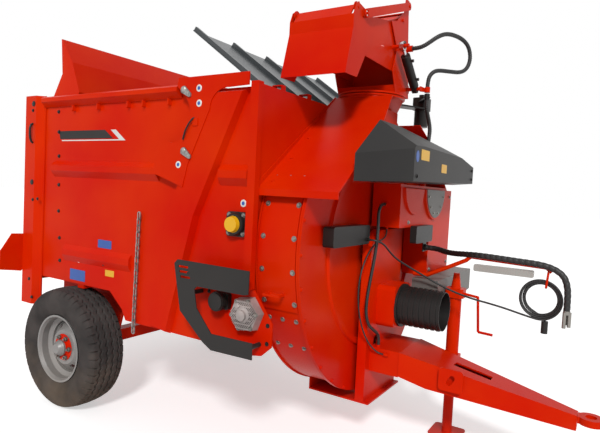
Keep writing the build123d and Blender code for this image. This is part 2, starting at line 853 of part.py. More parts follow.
# Tabs on the headboard's top edge that hold the sheet's lower edge
with BuildPart() as cover_brackets:
    for tab_y in (-cover_half + 50, -cover_half / 2 + 40, 40, cover_half / 2 + 40, cover_half - 50):
        with BuildSketch(Plane.XZ.offset(tab_y + 18)):
            with BuildLine():
                Polyline(
                    *from_axle((1424, 1900), (1429, 1900), (1429, 1996), (1372, 1996), (1345, 1975), (1348, 1970), (1374, 1990), (1424, 1990)),
                    close=True,
                )
            make_face()
        extrude(amount=-36)
keep(cover_brackets.part, "cover_brackets")

# Ends of the two hoses that meet at the swivel, one held by the neck and one by the slewing motor's arm
hose_size = 26.0
loop_start = (axle_x + 1812, 150, 2350)
loop_end = (axle_x + 1880, 268, 2135)
rise_foot = (axle_x + 1868, 330, 1546)
rise_top = (axle_x + 1878, 276, 2062)
fitting_radius = 17.0

# Chute neck: side plates, back wall, roof and the base that turns on the outlet duct
neck_side = [
    (0, 2058),
    (210, 2058),
    (160, 2360),
    (138, 2540),
    (56, 2540),
    (-30, 2466),
    (-112, 2442),
    (-14, 2312),
    (-60, 2175),
]
pivot_pin = 9.0
stay_pin_radius = 8.0
ram_x = chute_x + chute_half + ram_offset
ram_pin = 11.0
pin_reach = 87.0
with BuildPart() as chute_neck:
    for side in (-1, 1):
        with BuildSketch(Plane.YZ.offset(chute_x + side * chute_half)):
            with BuildLine():
                Polyline(*neck_side, close=True)
            make_face()
        extrude(amount=-side * chute_sheet)
        with BuildSketch(Plane.YZ.offset(chute_x + side * (chute_half + 8))):
            with Locations(hood_pivot):
                Circle(pivot_pin)
        extrude(amount=-side * 28)
    with BuildSketch(Plane.YZ.offset(chute_x - chute_half)):
        with BuildLine():
            Polyline(
                (210, 2058), (204, 2058), (154, 2360), (132, 2534), (56, 2534), (56, 2540), (138, 2540), (160, 2360), close=True
            )
        make_face()
        with BuildLine():
            Polyline((-2, 2060), (4, 2060), (-12, 2104), (-18, 2104), close=True)
        make_face()
    extrude(amount=2 * chute_half)
    with BuildSketch(Plane.XY.offset(ring_z)):
        with Locations((chute_x, chute_y)):
            Circle(ring_radius)
    extrude(amount=10)
    with BuildSketch(Plane.XY.offset(ring_z)):
        with Locations((chute_x, chute_y)):
            Circle(ring_radius - 30)
        with Locations((chute_x, 104)):
            Rectangle(2 * chute_half - 12, 196, mode=Mode.INTERSECT)
    extrude(amount=10, mode=Mode.SUBTRACT)
    # Fitting where the hose loop starts
    with BuildSketch(Plane.YZ.offset(chute_x + chute_half - 1)):
        with Locations(loop_start[1:]):
            Circle(fitting_radius + 2)
    extrude(amount=loop_start[0] - chute_x - chute_half + 1)
    # Tab and pin of the stay bar, lug and pin of the ram
    with BuildSketch(Plane.YZ.offset(chute_x + chute_half - chute_sheet)):
        Polygon((60, 2500), (138, 2500), (136, 2632), (88, 2632), align=None)
        with Locations(ram_foot):
            Circle(30)
    extrude(amount=chute_sheet)
    with BuildSketch(Plane.YZ.offset(chute_x + chute_half - 1)):
        with Locations(stay_pin):
            Circle(stay_pin_radius)
    extrude(amount=20)
    with BuildSketch(Plane.YZ.offset(chute_x + chute_half - 1)):
        with Locations(ram_foot):
            Circle(ram_pin)
    extrude(amount=pin_reach)
    # Plate on the end of the ram's pin and the coupler in which the hose loop ends
    with BuildSketch(Plane.YZ.offset(chute_x + chute_half - 1 + pin_reach)):
        with Locations(ram_foot):
            Circle(ram_pin + 5)
        Polygon(
            (ram_foot[0], ram_foot[1] - ram_pin - 5),
            (ram_foot[0], ram_foot[1] + ram_pin + 5),
            (loop_end[1], loop_end[2] - 4),
            (loop_end[1], loop_end[2] - 28),
            align=None,
        )
    extrude(amount=-6)
    with BuildSketch(Plane.XY.offset(loop_end[2] - 32)):
        with Locations(loop_end[:2]):
            Circle(fitting_radius)
    extrude(amount=32)
keep(chute_neck.part, "chute_neck")

# Chute hood: a channel open below, pivoted between the neck's side plates
hood_half = chute_half - chute_sheet - 6
hood_roof = [(40, 2520), (0, 2492), (-60, 2468), (-140, 2437), (-300, 2405), (-536, 2345)]
hood_cheek = [(-434, 2176), (106, 2176), (124, 2300), (112, 2400), (84, 2470), (84, 2505), (64, 2522)]
flap_rod = 8.0
with BuildPart() as chute_hood:
    for side in (-1, 1):
        with BuildSketch(Plane.YZ.offset(chute_x + side * hood_half)):
            with BuildLine():
                Polyline(*hood_cheek, *hood_roof, close=True)
            make_face()
            Polygon((-562, 2388), (-506, 2388), (-490, 2350), (-536, 2340), align=None)
            with Locations(flap_pivot):
                Circle(28)
                Circle(flap_rod + 0.05, mode=Mode.SUBTRACT)
            with Locations(hood_pivot):
                Circle(pivot_pin + 0.05, mode=Mode.SUBTRACT)
        extrude(amount=-side * chute_sheet)
    with BuildSketch(Plane.YZ.offset(chute_x - hood_half)):
        with BuildLine():
            Polyline(*hood_roof, *[(across, height - chute_sheet) for across, height in reversed(hood_roof)], close=True)
        make_face()
    extrude(amount=2 * hood_half)
    with BuildSketch(Plane.YZ.offset(chute_x + hood_half - 1)):
        with Locations(ram_eye):
            Circle(ram_pin)
    extrude(amount=chute_half - hood_half + 1 + pin_reach)
keep(chute_hood.part, "chute_hood")

# End flap: face, side wings, the rod it hinges on and the lever for the stay bar
flap_low = (-644.0, 2038.0)
wing = [
    (-350, 2320),
    (-428, 2176),
    (-515, flap_low[1] + 4),
    flap_low,
    (-582, 2276),
    (-582, 2340),
    (-560, 2394),
    (-534, 2413),
    (-508, 2394),
    (-486, 2350),
]
lever = [(-520, 2406), (-456, 2397), (-437, 2376), (-456, 2356), (-520, 2356)]
with BuildPart() as chute_flap:
    for side in (-1, 1):
        with BuildSketch(Plane.YZ.offset(chute_x + side * chute_half)):
            with BuildLine():
                Polyline(*wing, close=True)
            make_face()
        extrude(amount=-side * chute_sheet)
    with BuildSketch(Plane.YZ.offset(chute_x + chute_half - chute_sheet)):
        Polygon(*lever, align=None)
    extrude(amount=chute_sheet)
    with BuildSketch(Plane.YZ.offset(chute_x + chute_half - 1)):
        with Locations(flap_pin):
            Circle(7)
    extrude(amount=20)
    with BuildSketch(Plane.YZ.offset(chute_x - chute_half - 4)):
        with Locations(flap_pivot):
            Circle(flap_rod)
    extrude(amount=2 * chute_half + 8)
    with BuildSketch(Plane.YZ.offset(chute_x - chute_half)):
        with BuildLine():
            Polyline(
                (-582, 2340), (-577, 2340), (-577, 2276), (flap_low[0] + 5, flap_low[1]), flap_low, (-582, 2276), close=True
            )
        make_face()
    extrude(amount=2 * chute_half)
    with BuildSketch(Plane.YZ.offset(chute_x - chute_half + 22)):
        with BuildLine():
            Polyline((-536, 2400), (-530, 2396), (-577, 2330), (-582, 2336), close=True)
        make_face()
    extrude(amount=2 * chute_half - 44)
keep(chute_flap.part, "chute_flap")

# Stay bar that makes the flap straighten as the hood rises
stay_run = hypot(stay_pin[0] - flap_pin[0], stay_pin[1] - flap_pin[1])
stay_angle = degrees(atan2(stay_pin[1] - flap_pin[1], stay_pin[0] - flap_pin[0]))
with BuildPart() as stay_bar:
    with BuildSketch(Plane.YZ.offset(chute_x + chute_half + 6)):
        with Locations(((stay_pin[0] + flap_pin[0]) / 2, (stay_pin[1] + flap_pin[1]) / 2)):
            SlotCenterToCenter(stay_run, 46, rotation=stay_angle)
        with Locations(stay_pin):
            Circle(stay_pin_radius + 0.05, mode=Mode.SUBTRACT)
        with Locations(flap_pin):
            Circle(16, mode=Mode.SUBTRACT)
    extrude(amount=8)
keep(stay_bar.part, "stay_bar")

# Chute ram: barrel with its foot eye and ports, rod with its piston and open eye
ram_run = hypot(ram_foot[0] - ram_eye[0], ram_foot[1] - ram_eye[1])
ram_way = (0, (ram_eye[0] - ram_foot[0]) / ram_run, (ram_eye[1] - ram_foot[1]) / ram_run)
ram_plane = Plane(origin=(ram_x, ram_foot[0], ram_foot[1]), x_dir=(1, 0, 0), z_dir=ram_way)
barrel_radius = 27.0
rod_radius = 10.0
with BuildPart() as ram_barrel:
    with BuildSketch(ram_plane.offset(24)):
        Circle(barrel_radius)
    extrude(amount=222)
    with BuildSketch(Plane.YZ.offset(ram_x - 14)):
        with Locations(ram_foot):
            Circle(25)
    extrude(amount=28)
    for along in (72.0, 206.0):
        with BuildSketch(Plane(origin=ram_plane.offset(along).origin, x_dir=(0, 0, 1), z_dir=(1, 0, 0))):
            Circle(9)
        extrude(amount=barrel_radius + 14)
    with BuildSketch(ram_plane.offset(44)):
        Circle(21)
    extrude(amount=186, mode=Mode.SUBTRACT)
    with BuildSketch(ram_plane.offset(200)):
        Circle(rod_radius + 0.05)
    extrude(amount=60, mode=Mode.SUBTRACT)
    with BuildSketch(Plane.YZ.offset(ram_x - 20)):
        with Locations(ram_foot):
            Circle(ram_pin + 0.05)
    extrude(amount=40, mode=Mode.SUBTRACT)
keep(ram_barrel.part, "ram_barrel")
with BuildPart() as ram_rod:
    with BuildSketch(ram_plane.offset(64)):
        Circle(rod_radius)
    extrude(amount=ram_run - 64 - 20)
    with BuildSketch(ram_plane.offset(64)):
        Circle(20.95)
    extrude(amount=18)
    with BuildSketch(Plane.YZ.offset(ram_x - 13)):
        with Locations(ram_eye):
            Circle(28)
            Circle(ram_pin + 7, mode=Mode.SUBTRACT)
    extrude(amount=26)
keep(ram_rod.part, "ram_rod")

# Slewing motor of the chute on its arm, beside the swivel ring
slew_x = axle_x + 1780.0
slew_y = 465.0
with BuildPart() as slew_motor:
    with BuildSketch(Plane.XY.offset(1914)):
        with Locations((slew_x, slew_y)):
            Circle(45)
    extrude(amount=110)
    with BuildSketch(Plane.XY.offset(2024)):
        with Locations((slew_x, slew_y)):
            RectangleRounded(92, 120, 18)
    extrude(amount=80)
    with BuildSketch(Plane.XY.offset(2104)):
        with Locations((slew_x, slew_y)):
            RegularPolygon(22, 6)
    extrude(amount=24)
    with BuildSketch(Plane.XY.offset(ring_z - 28)):
        Polygon(
            (chute_x + 60, 290),
            (chute_x + 140, 235),
            (slew_x + 44, slew_y - 60),
            (slew_x - 44, slew_y - 50),
            align=None,
        )
    extrude(amount=10)
    # Arm and fitting for the upper end of the rising hose
    with BuildSketch(Plane.XY.offset(rise_top[2] + 8)):
        with Locations(rise_top[:2]):
            Circle(fitting_radius + 3)
        Polygon(
            (slew_x - 10, slew_y - 50),
            (slew_x + 40, slew_y - 50),
            (rise_top[0] + 12, rise_top[1] + 14),
            (rise_top[0] - 16, rise_top[1] + 8),
            align=None,
        )
    extrude(amount=8)
    with BuildSketch(Plane.XY.offset(rise_top[2])):
        with Locations(rise_top[:2]):
            Circle(fitting_radius)
    extrude(amount=34)
keep(slew_motor.part, "slew_motor")

# Belt guard: a tapered plastic cover over the drive at the machine's front, open behind
guard_back = [(-740, 1512), (870, 1550), (870, 1690), (560, 1790), (-200, 1830), (-480, 1830), (-740, 1640)]
guard_face = [(-350, 1530), (840, 1562), (840, 1675), (540, 1718), (-190, 1722), (-330, 1716), (-350, 1700)]
guard_back_inner = [(-734, 1518), (864, 1556), (864, 1686), (559, 1784), (-201, 1824), (-478, 1824), (-734, 1637)]
guard_face_inner = [(-346, 1535), (835, 1567), (835, 1671), (539, 1713), (-191, 1717), (-328, 1711), (-346, 1697)]
with BuildPart() as belt_guard:
    with BuildSketch(Plane.YZ.offset(tower_front + 6)) as guard_rear:
        Polygon(*guard_back, align=None)
    with BuildSketch(Plane.YZ.offset(axle_x + 2050)) as guard_front:
        Polygon(*guard_face, align=None)
    loft(sections=[guard_rear.sketch.face(), guard_front.sketch.face()], ruled=True)
    with BuildSketch(Plane.YZ.offset(tower_front + 6)) as inner_rear:
        Polygon(*guard_back_inner, align=None)
    with BuildSketch(Plane.YZ.offset(axle_x + 2045)) as inner_front:
        Polygon(*guard_face_inner, align=None)
    loft(sections=[inner_rear.sketch.face(), inner_front.sketch.face()], ruled=True, mode=Mode.SUBTRACT)
keep(belt_guard.part, "belt_guard")

# Where the hose and the cable on the drum's front start and end
down_hose_start = (axle_x + 1812, -136, 1402)
down_hose_end = (axle_x + 1830, -152, 596)
down_cable_start = (axle_x + 1802, -60, 1256)
down_cable_end = (axle_x + 1880, -184, 556)

# Front tower: a folded box ahead of the drum that carries the belt drive
tower_back = axle_x + 1730.0
tower_outline = [(-120, 1270), (410, 1270), (410, 940), (836, 940), (836, 1440), (740, 1520), (-120, 1520)]
tower_hollow = [(-115, 1275), (415, 1275), (415, 945), (831, 945), (831, 1438), (738, 1515), (-115, 1515)]
tower_face = [(-120, 1270), (410, 1270), (410, 940), (860, 940), (860, 1506), (-120, 1506)]
with BuildPart() as front_tower:
    with BuildSketch(Plane.YZ.offset(tower_back)):
        Polygon(*tower_outline, align=None)
    extrude(amount=tower_front - 5 - tower_back)
    with BuildSketch(Plane.YZ.offset(tower_back)):
        Polygon(*tower_hollow, align=None)
    extrude(amount=tower_front - 10 - tower_back, mode=Mode.SUBTRACT)
    with BuildSketch(Plane.YZ.offset(tower_front - 5)):
        Polygon(*tower_face, align=None)
    extrude(amount=5)
    with BuildSketch(Plane.YZ.offset(tower_front)):
        with Locations((85, 1506)):
            Circle(165)
        with Locations((475, 1506)):
            Circle(205)
        with Locations((300, 1706)):
            Rectangle(1200, 400, mode=Mode.SUBTRACT)
    extrude(amount=12, taper=30)
    # Fittings: on top for the rising hose, on the right flank and below for the hose and cable on the drum's front
    with BuildSketch(Plane.XY.offset(rise_foot[2])):
        with Locations(rise_foot[:2]):
            Circle(fitting_radius)
    extrude(amount=-(rise_foot[2] - 1519))
    with BuildSketch(Plane.XZ.offset(-down_hose_start[1])):
        with Locations((down_hose_start[0], down_hose_start[2])):
            Circle(12)
    extrude(amount=down_hose_start[1] + 119)
    with BuildSketch(Plane.XY.offset(down_cable_start[2])):
        with Locations(down_cable_start[:2]):
            Circle(8)
    extrude(amount=1271 - down_cable_start[2])
keep(front_tower.part, "front_tower")

# Front column: the box plate that carries the input shaft and the drawbar
with BuildPart() as front_column:
    with BuildSketch(Plane.YZ.offset(axle_x + 1735)):
        Polygon((-230, 262), (230, 262), (230, 1250), (-110, 1250), (-230, 1180), align=None)
        with Locations((-100, 600)):
            Circle(34, mode=Mode.SUBTRACT)
    extrude(amount=55)
    with BuildSketch(Plane.YZ.offset(axle_x + 1735)):
        Polygon((-222, 270), (222, 270), (222, 1242), (-106, 1242), (-222, 1174), align=None)
    extrude(amount=47, mode=Mode.SUBTRACT)
    with BuildSketch(Plane.YZ.offset(axle_x + 1789)):
        with Locations((0, pto_z)):
            RectangleRounded(240, 240, 30)
    extrude(amount=111)
    with BuildSketch(Plane.YZ.offset(axle_x + 1899)):
        with Locations((0, pto_z)):
            Circle(48)
    extrude(amount=40)
    with BuildSketch(Plane.YZ.offset(axle_x + 1938)):
        with Locations((0, pto_z)):
            Circle(17.45)
    extrude(amount=170)
    with BuildSketch(Plane.YZ.offset(axle_x + 1789)):
        with Locations((0, 512)):
            Rectangle(350, 140)
            Rectangle(334, 124, mode=Mode.SUBTRACT)
    extrude(amount=176)
    with BuildSketch(Plane.XY.offset(262)):
        with Locations(((headboard_x + axle_x + 1820) / 2, 0)):
            Rectangle(axle_x + 1820 - headboard_x, 460)
    extrude(amount=10)
    with BuildSketch(Plane.YZ.offset(headboard_x)):
        with Locations((0, 443)):
            Rectangle(460, 362)
    extrude(amount=8)
    # Fittings beside the bracket for the hose and cable that come down the drum's front
    with BuildSketch(Plane.XY.offset(down_hose_end[2])):
        with Locations(down_hose_end[:2]):
            Circle(12)
    extrude(amount=581 - down_hose_end[2])
    with BuildSketch(Plane.YZ.offset(down_cable_end[0])):
        with Locations(down_cable_end[1:]):
            Circle(10)
    extrude(amount=24)
keep(front_column.part, "front_column")

# Ribbed guard round the input shaft
with BuildPart() as pto_guard:
    with BuildSketch(Plane.YZ.offset(guard_ring_x - 6)):
        with Locations((0, pto_z)):
            Circle(guard_radius + 14)
            Circle(guard_radius - 6, mode=Mode.SUBTRACT)
    extrude(amount=12)
    with BuildSketch(Plane.YZ.offset(guard_ring_x)):
        with Locations((0, pto_z)):
            Circle(guard_radius - 2)
            Circle(guard_radius - 6, mode=Mode.SUBTRACT)
    extrude(amount=guard_mouth_x - guard_ring_x)
    for index in range(7):
        with BuildSketch(Plane.YZ.offset(guard_ring_x + 24 + 32 * index)):
            with Locations((0, pto_z)):
                Circle(guard_radius + 3)
                Circle(guard_radius - 4, mode=Mode.SUBTRACT)
        extrude(amount=12)
keep(pto_guard.part, "pto_guard")

# Box guard to the left of the input shaft
with BuildPart() as drive_guard_left:
    with BuildSketch(Plane.XZ.offset(-130)):
        Polygon(*from_axle((1906, 780), (2030, 780), (2066, 820), (2066, 960), (1906, 960)), align=None)
    extrude(amount=-750)
    with BuildSketch(Plane.XZ.offset(-135)):
        Polygon(*from_axle((1906, 785), (2028, 785), (2061, 822), (2061, 955), (1906, 955)), align=None)
    extrude(amount=-740, mode=Mode.SUBTRACT)
keep(drive_guard_left.part, "drive_guard_left")

# Drawbar: a tapering welded box with an open channel along its top
bar_side = [(1967, 450), (2120, 410), (2830, 345), (2845, 345), (2845, 420), (1967, bar_rear_top)]
bar_hollow = [(1960, 458), (2121, 418), (2829, 353), (2829, 415), (1960, bar_rear_top - 8)]
with BuildPart() as drawbar_hollow:
    with BuildSketch(Plane.XZ.offset(200)):
        Polygon(*from_axle(*bar_hollow), align=None)
    extrude(amount=-400)
    with BuildSketch(Plane.XY.offset(300)):
        Polygon(
            (axle_x + 1960, -bar_rear_half + 8),
            (axle_x + 2829, -bar_tip_half + 6),
            (axle_x + 2829, bar_tip_half - 6),
            (axle_x + 1960, bar_rear_half - 8),
            align=None,
        )
    extrude(amount=400, mode=Mode.INTERSECT)
with BuildPart() as drawbar:
    with BuildSketch(Plane.XZ.offset(200)):
        Polygon(*from_axle(*bar_side), align=None)
    extrude(amount=-400)
    with BuildSketch(Plane.XY.offset(300)):
        Polygon(
            (bar_rear, -bar_rear_half),
            (axle_x + 2845, -bar_tip_half),
            (axle_x + 2845, bar_tip_half),
            (bar_rear, bar_rear_half),
            align=None,
        )
    extrude(amount=400, mode=Mode.INTERSECT)
    add(drawbar_hollow.part, mode=Mode.SUBTRACT)
    with BuildSketch(Plane.XY.offset(440)):
        with Locations((axle_x + 2330, 0)):
            Rectangle(200, 60)
    extrude(amount=200, mode=Mode.SUBTRACT)
    # Side lug for the support wheel or stand
    with BuildSketch(Plane.XZ.offset(160)):
        with Locations((axle_x + 2255, 490)):
            RectangleRounded(130, 120, 20)
            SlotOverall(60, 28, rotation=60, mode=Mode.SUBTRACT)
    extrude(amount=8)
    with BuildSketch(Plane.XZ.offset(120)):
        Polygon(*from_axle((2215, 438), (2295, 432), (2295, 452), (2215, 458)), align=None)
    extrude(amount=41)
keep(drawbar.part, "drawbar")

# Hitch eye on the drawbar's tip
with BuildPart() as hitch_eye:
    with BuildSketch(Plane.XY.offset(eye_z - eye_thick / 2)):
        with Locations((eye_x, 0)):
            Circle(eye_radius)
        with Locations(((axle_x + 2846 + eye_x) / 2, 0)):
            Rectangle(eye_x - axle_x - 2846, 64)
        with Locations((eye_x, 0)):
            Circle(eye_bore, mode=Mode.SUBTRACT)
    extrude(amount=eye_thick)
keep(hitch_eye.part, "hitch_eye")

# Parking jack: outer tube with its head, bracket and crank
with BuildPart() as jack_tube:
    with BuildSketch(Plane.XY.offset(jack_tube_bottom)):
        with Locations((jack_x, jack_y)):
            Circle(jack_outer)
    extrude(amount=890 - jack_tube_bottom)
    with BuildSketch(Plane.XY.offset(852)):
        with Locations((jack_x, jack_y)):
            RectangleRounded(110, 96, 20)
    extrude(amount=56)
    with BuildSketch(Plane.XY.offset(908)):
        with Locations((jack_x, jack_y)):
            Circle(30)
    extrude(amount=jack_top - 908, taper=8)
    with BuildSketch(Plane.XY.offset(430)):
        with Locations((jack_x, (172 + jack_y) / 2)):
            Rectangle(110, jack_y - 172)
    extrude(amount=80)
    with BuildLine() as crank_line:
        Polyline(
            (axle_x + 2160, jack_y, 880), (axle_x + 2262, jack_y, 868), (axle_x + 2276, jack_y, 660), (axle_x + 2360, jack_y, 656)
        )
    with BuildSketch(Plane(origin=crank_line.line @ 0, z_dir=crank_line.line % 0)):
        Circle(8)
    sweep(path=crank_line.line, transition=Transition.ROUND)
    with BuildSketch(Plane.XY.offset(jack_tube_bottom)):
        with Locations((jack_x, jack_y)):
            Circle(jack_inner + jack_fit)
    extrude(amount=580, mode=Mode.SUBTRACT)
keep(jack_tube.part, "jack_tube")

# Inner tube of the jack with its foot on the ground
with BuildPart() as jack_leg:
    with BuildSketch(Plane.XY):
        with Locations((jack_x, jack_y)):
            RectangleRounded(foot_size, foot_size, 24)
    extrude(amount=foot_plate)
    with BuildSketch(Plane.XY.offset(foot_plate - 1)):
        with Locations((jack_x, jack_y)):
            Circle(jack_inner)
            Circle(jack_inner - 5, mode=Mode.SUBTRACT)
    extrude(amount=600)
keep(jack_leg.part, "jack_leg")

# Hose mast: a bent tube that holds the hoses clear of the drawbar
mast_y = 150.0
with BuildPart() as hose_mast:
    with BuildLine() as mast_line:
        Polyline(
            (axle_x + 1906, mast_y, 985),
            (axle_x + 1990, mast_y, 985),
            (axle_x + 2215, mast_y, 1100),
            (axle_x + 2240, mast_y, 1125),
            (axle_x + 2640, mast_y, 1110),
            (axle_x + 2668, mast_y, 1088),
        )
    with BuildSketch(Plane(origin=mast_line.line @ 0, z_dir=mast_line.line % 0)):
        Circle(12)
    sweep(path=mast_line.line, transition=Transition.ROUND)
    # Hook that reaches through the cable's coil
    with BuildLine() as hook_line:
        Polyline(
            (axle_x + 2655, mast_y, 1098),
            (axle_x + 2655, mast_y - 40, 1088),
            (axle_x + 2648, mast_y - 40, 1008),
            (axle_x + 2644, mast_y + 6, 1003),
        )
    with BuildSketch(Plane(origin=hook_line.line @ 0, z_dir=hook_line.line % 0)):
        Circle(6)
    sweep(path=hook_line.line, transition=Transition.ROUND)
keep(hose_mast.part, "hose_mast")

# Where the control cable and the bundle of hoses start
cable_start = (axle_x + 1800, -290, 1204)
bundle_start = (axle_x + 1920, 322, 1134)

# Electric box on the drum's front and the plug holder on the tower
with BuildPart() as control_boxes:
    with BuildSketch(Plane.YZ.offset(drum_front + 26)):
        with Locations((-470, 1232)):
            RectangleRounded(420, 104, 16)
    extrude(amount=60)
    with BuildSketch(Plane.YZ.offset(tower_front + 1)):
        with Locations((210, 1226)):
            RectangleRounded(300, 104, 14)
    extrude(amount=40)
    # Gland on the electric box's front, and the plate with the bundle's grommet below the plug holder
    with BuildSketch(Plane.YZ.offset(cable_start[0])):
        with Locations(cable_start[1:]):
            Circle(9)
    extrude(amount=drum_front + 85 - cable_start[0])
    with BuildSketch(Plane.YZ.offset(tower_front + 1)):
        with Locations((bundle_start[1], 1144)):
            Rectangle(56, 72)
    extrude(amount=6)
    with BuildSketch(Plane.YZ.offset(bundle_start[0])):
        with Locations(bundle_start[1:]):
            Circle(21)
    extrude(amount=tower_front + 6 - bundle_start[0])
keep(control_boxes.part, "control_boxes")

# Chain that hangs beside the hopper: flat-sided links turned crosswise in turn
link_pitch = 37.0
link_count = 19
with BuildPart() as storage_chain:
    for index in range(link_count):
        link_x = axle_x + 613 - 18 * index / link_count
        link_z = 1262 - link_pitch * index
        if index % 2 == 0:
            with BuildSketch(Plane.XZ.offset(panel_y + 15)):
                with Locations((link_x, link_z)):
                    SlotOverall(52, 24, rotation=90)
                    SlotOverall(40, 12, rotation=90, mode=Mode.SUBTRACT)
            extrude(amount=6)
        else:
            with BuildSketch(Plane.YZ.offset(link_x - 3)):
                with Locations((-panel_y - 18, link_z)):
                    SlotOverall(52, 24, rotation=90)
                    SlotOverall(40, 12, rotation=90, mode=Mode.SUBTRACT)
            extrude(amount=6)
keep(storage_chain.part, "storage_chain")


def hose(route, diameter):
    """A hose of straight runs joined by tangent arcs, each as large as its two runs allow."""
    points = [Vector(*point) for point in route]
    radii = []
    for before, corner, after in zip(points, points[1:], points[2:]):
        turn = radians((corner - before).get_angle(after - corner))
        shorter = min((corner - before).length, (after - corner).length)
        radii.append(0.45 * shorter / tan(turn / 2))
    print("bend radii over diameter:", [round(radius / diameter, 1) for radius in radii])
    with BuildPart() as tube:
        with BuildLine() as path:
            FilletPolyline(*points, radius=radii)
        with BuildSketch(Plane(origin=path.line @ 0, z_dir=path.line % 0)):
            Circle(diameter / 2)
        sweep(path=path.line)
    run_volume = pi * diameter**2 / 4 * path.wire().length
    print("volume over section times length:", round(tube.part.volume / run_volume, 4))
    return tube.part


def ahead(*points):
    """Points given as (ahead of the axle, across, up)."""
    return [(axle_x + point[0], point[1], point[2]) for point in points]


# Spiral-wrapped hose loop on the neck
loop_route = [
    loop_start,
    *ahead(
        (1849, 150, 2350),
        (1884, 152, 2360),
        (1916, 162, 2382),
        (1944, 192, 2414),
        (1966, 244, 2444),
        (1984, 314, 2463),
        (2004, 396, 2470),
        (2022, 478, 2468),
        (2044, 521, 2440),
        (2054, 548, 2393),
        (2054, 548, 2337),
        (2040, 524, 2288),
        (2014, 483, 2262),
        (1968, 408, 2256),
        (1918, 327, 2251),
        (1894, 290, 2228),
        (1880, 268, 2186),
    ),
    loop_end,
]
keep(hose(loop_route, hose_size), "hose_loop")

# Hose that rises from the tower behind the belt guard to the slewing motor's arm
rise_route = [
    rise_foot,
    *ahead(
        (1868, 330, 1596),
        (1871, 333, 1652),
        (1876, 336, 1712),
        (1882, 336, 1774),
        (1887, 334, 1830),
        (1889, 338, 1876),
        (1886, 328, 1918),
        (1882, 302, 1962),
        (1878, 276, 2010),
    ),
    rise_top,
]
keep(hose(rise_route, hose_size), "hose_rise")

# Bundle of tractor hoses along the mast, and its couplings
bundle_size = 34.0
bundle_route = [
    bundle_start,
    *ahead(
        (1966, 322, 1134),
        (2012, 308, 1130),
        (2066, 268, 1123),
        (2130, 210, 1126),
        (2200, 158, 1146),
        (2280, 124, 1164),
        (2380, 112, 1164),
        (2500, 110, 1152),
        (2610, 110, 1146),
        (2682, 110, 1124),
        (2732, 107, 1078),
        (2751, 104, 1020),
        (2754, 104, 960),
        (2754, 104, 902),
    ),
]
keep(hose(bundle_route, bundle_size), "mast_hoses")
coupling_cap = 20.0
with BuildPart() as hose_plugs:
    plug_x, plug_y, plug_top = bundle_route[-1]
    # Each coupling: across and ahead of the bundle's end, and how far it hangs below
    for across, along, drop in ((-12, -8, 90), (12, -4, 76), (0, 14, 84)):
        with BuildSketch(Plane.XY.offset(plug_top - drop)):
            with Locations((plug_x + along, plug_y + across)):
                Circle(9.5)
        extrude(amount=drop - 6)
    with BuildSketch(Plane.XY.offset(plug_top - coupling_cap)):
        with Locations((plug_x, plug_y)):
            Circle(bundle_size / 2)
    extrude(amount=coupling_cap)
keep(hose_plugs.part, "hose_plugs")

# Control cable from the electric box along the mast to its coil on the mast's hook
cable_size = 11.0
coil_centre = (axle_x + 2620, 150, 937)
coil_radius = 99.0
coil_half = 26.0
coil_tube = 17.0
plug_length = 66.0
cable_route = [
    cable_start,
    *ahead(
        (1828, -290, 1204),
        (1850, -275, 1198),
        (1859, -243, 1186),
        (1858, -196, 1168),
        (1856, -136, 1136),
        (1870, -66, 1090),
        (1912, 12, 1044),
        (1984, 70, 996),
        (2072, 98, 950),
        (2164, 112, 914),
        (2262, 118, 890),
        (2366, 122, 876),
        (2448, 128, 868),
        (2504, 136, 872),
    ),
]
keep(hose(cable_route, cable_size), "mast_cable")
with BuildPart() as cable_coil:
    with BuildSketch(Plane(origin=coil_centre, x_dir=(1, 0, 0), z_dir=(0, 0, 1))):
        with Locations((coil_radius, 0)):
            RectangleRounded(2 * coil_tube, 2 * coil_half, 12)
    revolve(axis=Axis(coil_centre, (0, 1, 0)))
keep(cable_coil.part, "cable_coil")
with BuildPart() as cable_plug:
    with BuildSketch(Plane.XY.offset(coil_centre[2] - coil_radius - coil_tube - plug_length)):
        with Locations((coil_centre[0] + 30, coil_centre[1])):
            Circle(17)
    extrude(amount=plug_length)
keep(cable_plug.part, "cable_plug")

# Cable and hose that run down the drum's front to the frame
down_cable_size = 9.0
down_cable_route = [
    down_cable_start,
    *ahead(
        (1802, -60, 1230),
        (1802, -80, 1208),
        (1802, -122, 1196),
        (1802, -186, 1186),
        (1798, -256, 1156),
        (1794, -322, 1096),
        (1790, -362, 1016),
        (1788, -374, 926),
        (1788, -358, 834),
        (1790, -322, 744),
        (1796, -272, 664),
        (1808, -226, 606),
        (1828, -196, 572),
        (1852, -184, 556),
    ),
    down_cable_end,
]
keep(hose(down_cable_route, down_cable_size), "down_cable")
down_hose_size = 18.0
down_hose_route = [
    down_hose_start,
    *ahead(
        (1812, -170, 1402),
        (1812, -200, 1385),
        (1812, -217, 1354),
        (1816, -221, 1300),
        (1819, -228, 1220),
        (1818, -240, 1134),
        (1812, -256, 1040),
        (1806, -276, 944),
        (1803, -290, 860),
        (1804, -290, 786),
        (1810, -262, 726),
        (1820, -212, 690),
        (1828, -172, 666),
        (1830, -152, 633),
    ),
    down_hose_end,
]
keep(hose(down_hose_route, down_hose_size), "down_hose")
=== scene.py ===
# %% [markdown]
# # A trailed straw blower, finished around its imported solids
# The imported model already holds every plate, tube and casting at its real size. This script
# gives each of them a finish and adds what is too small for solids: tread, bolts, wraps and plates.
# All places are given in millimetres ahead of the wheel axle, as on a workshop drawing, and one
# helper turns them into metres in the model's own frame.

from math import cos, radians, sin

import bmesh
import bpy
import numpy as np
from mathutils import Matrix, Vector


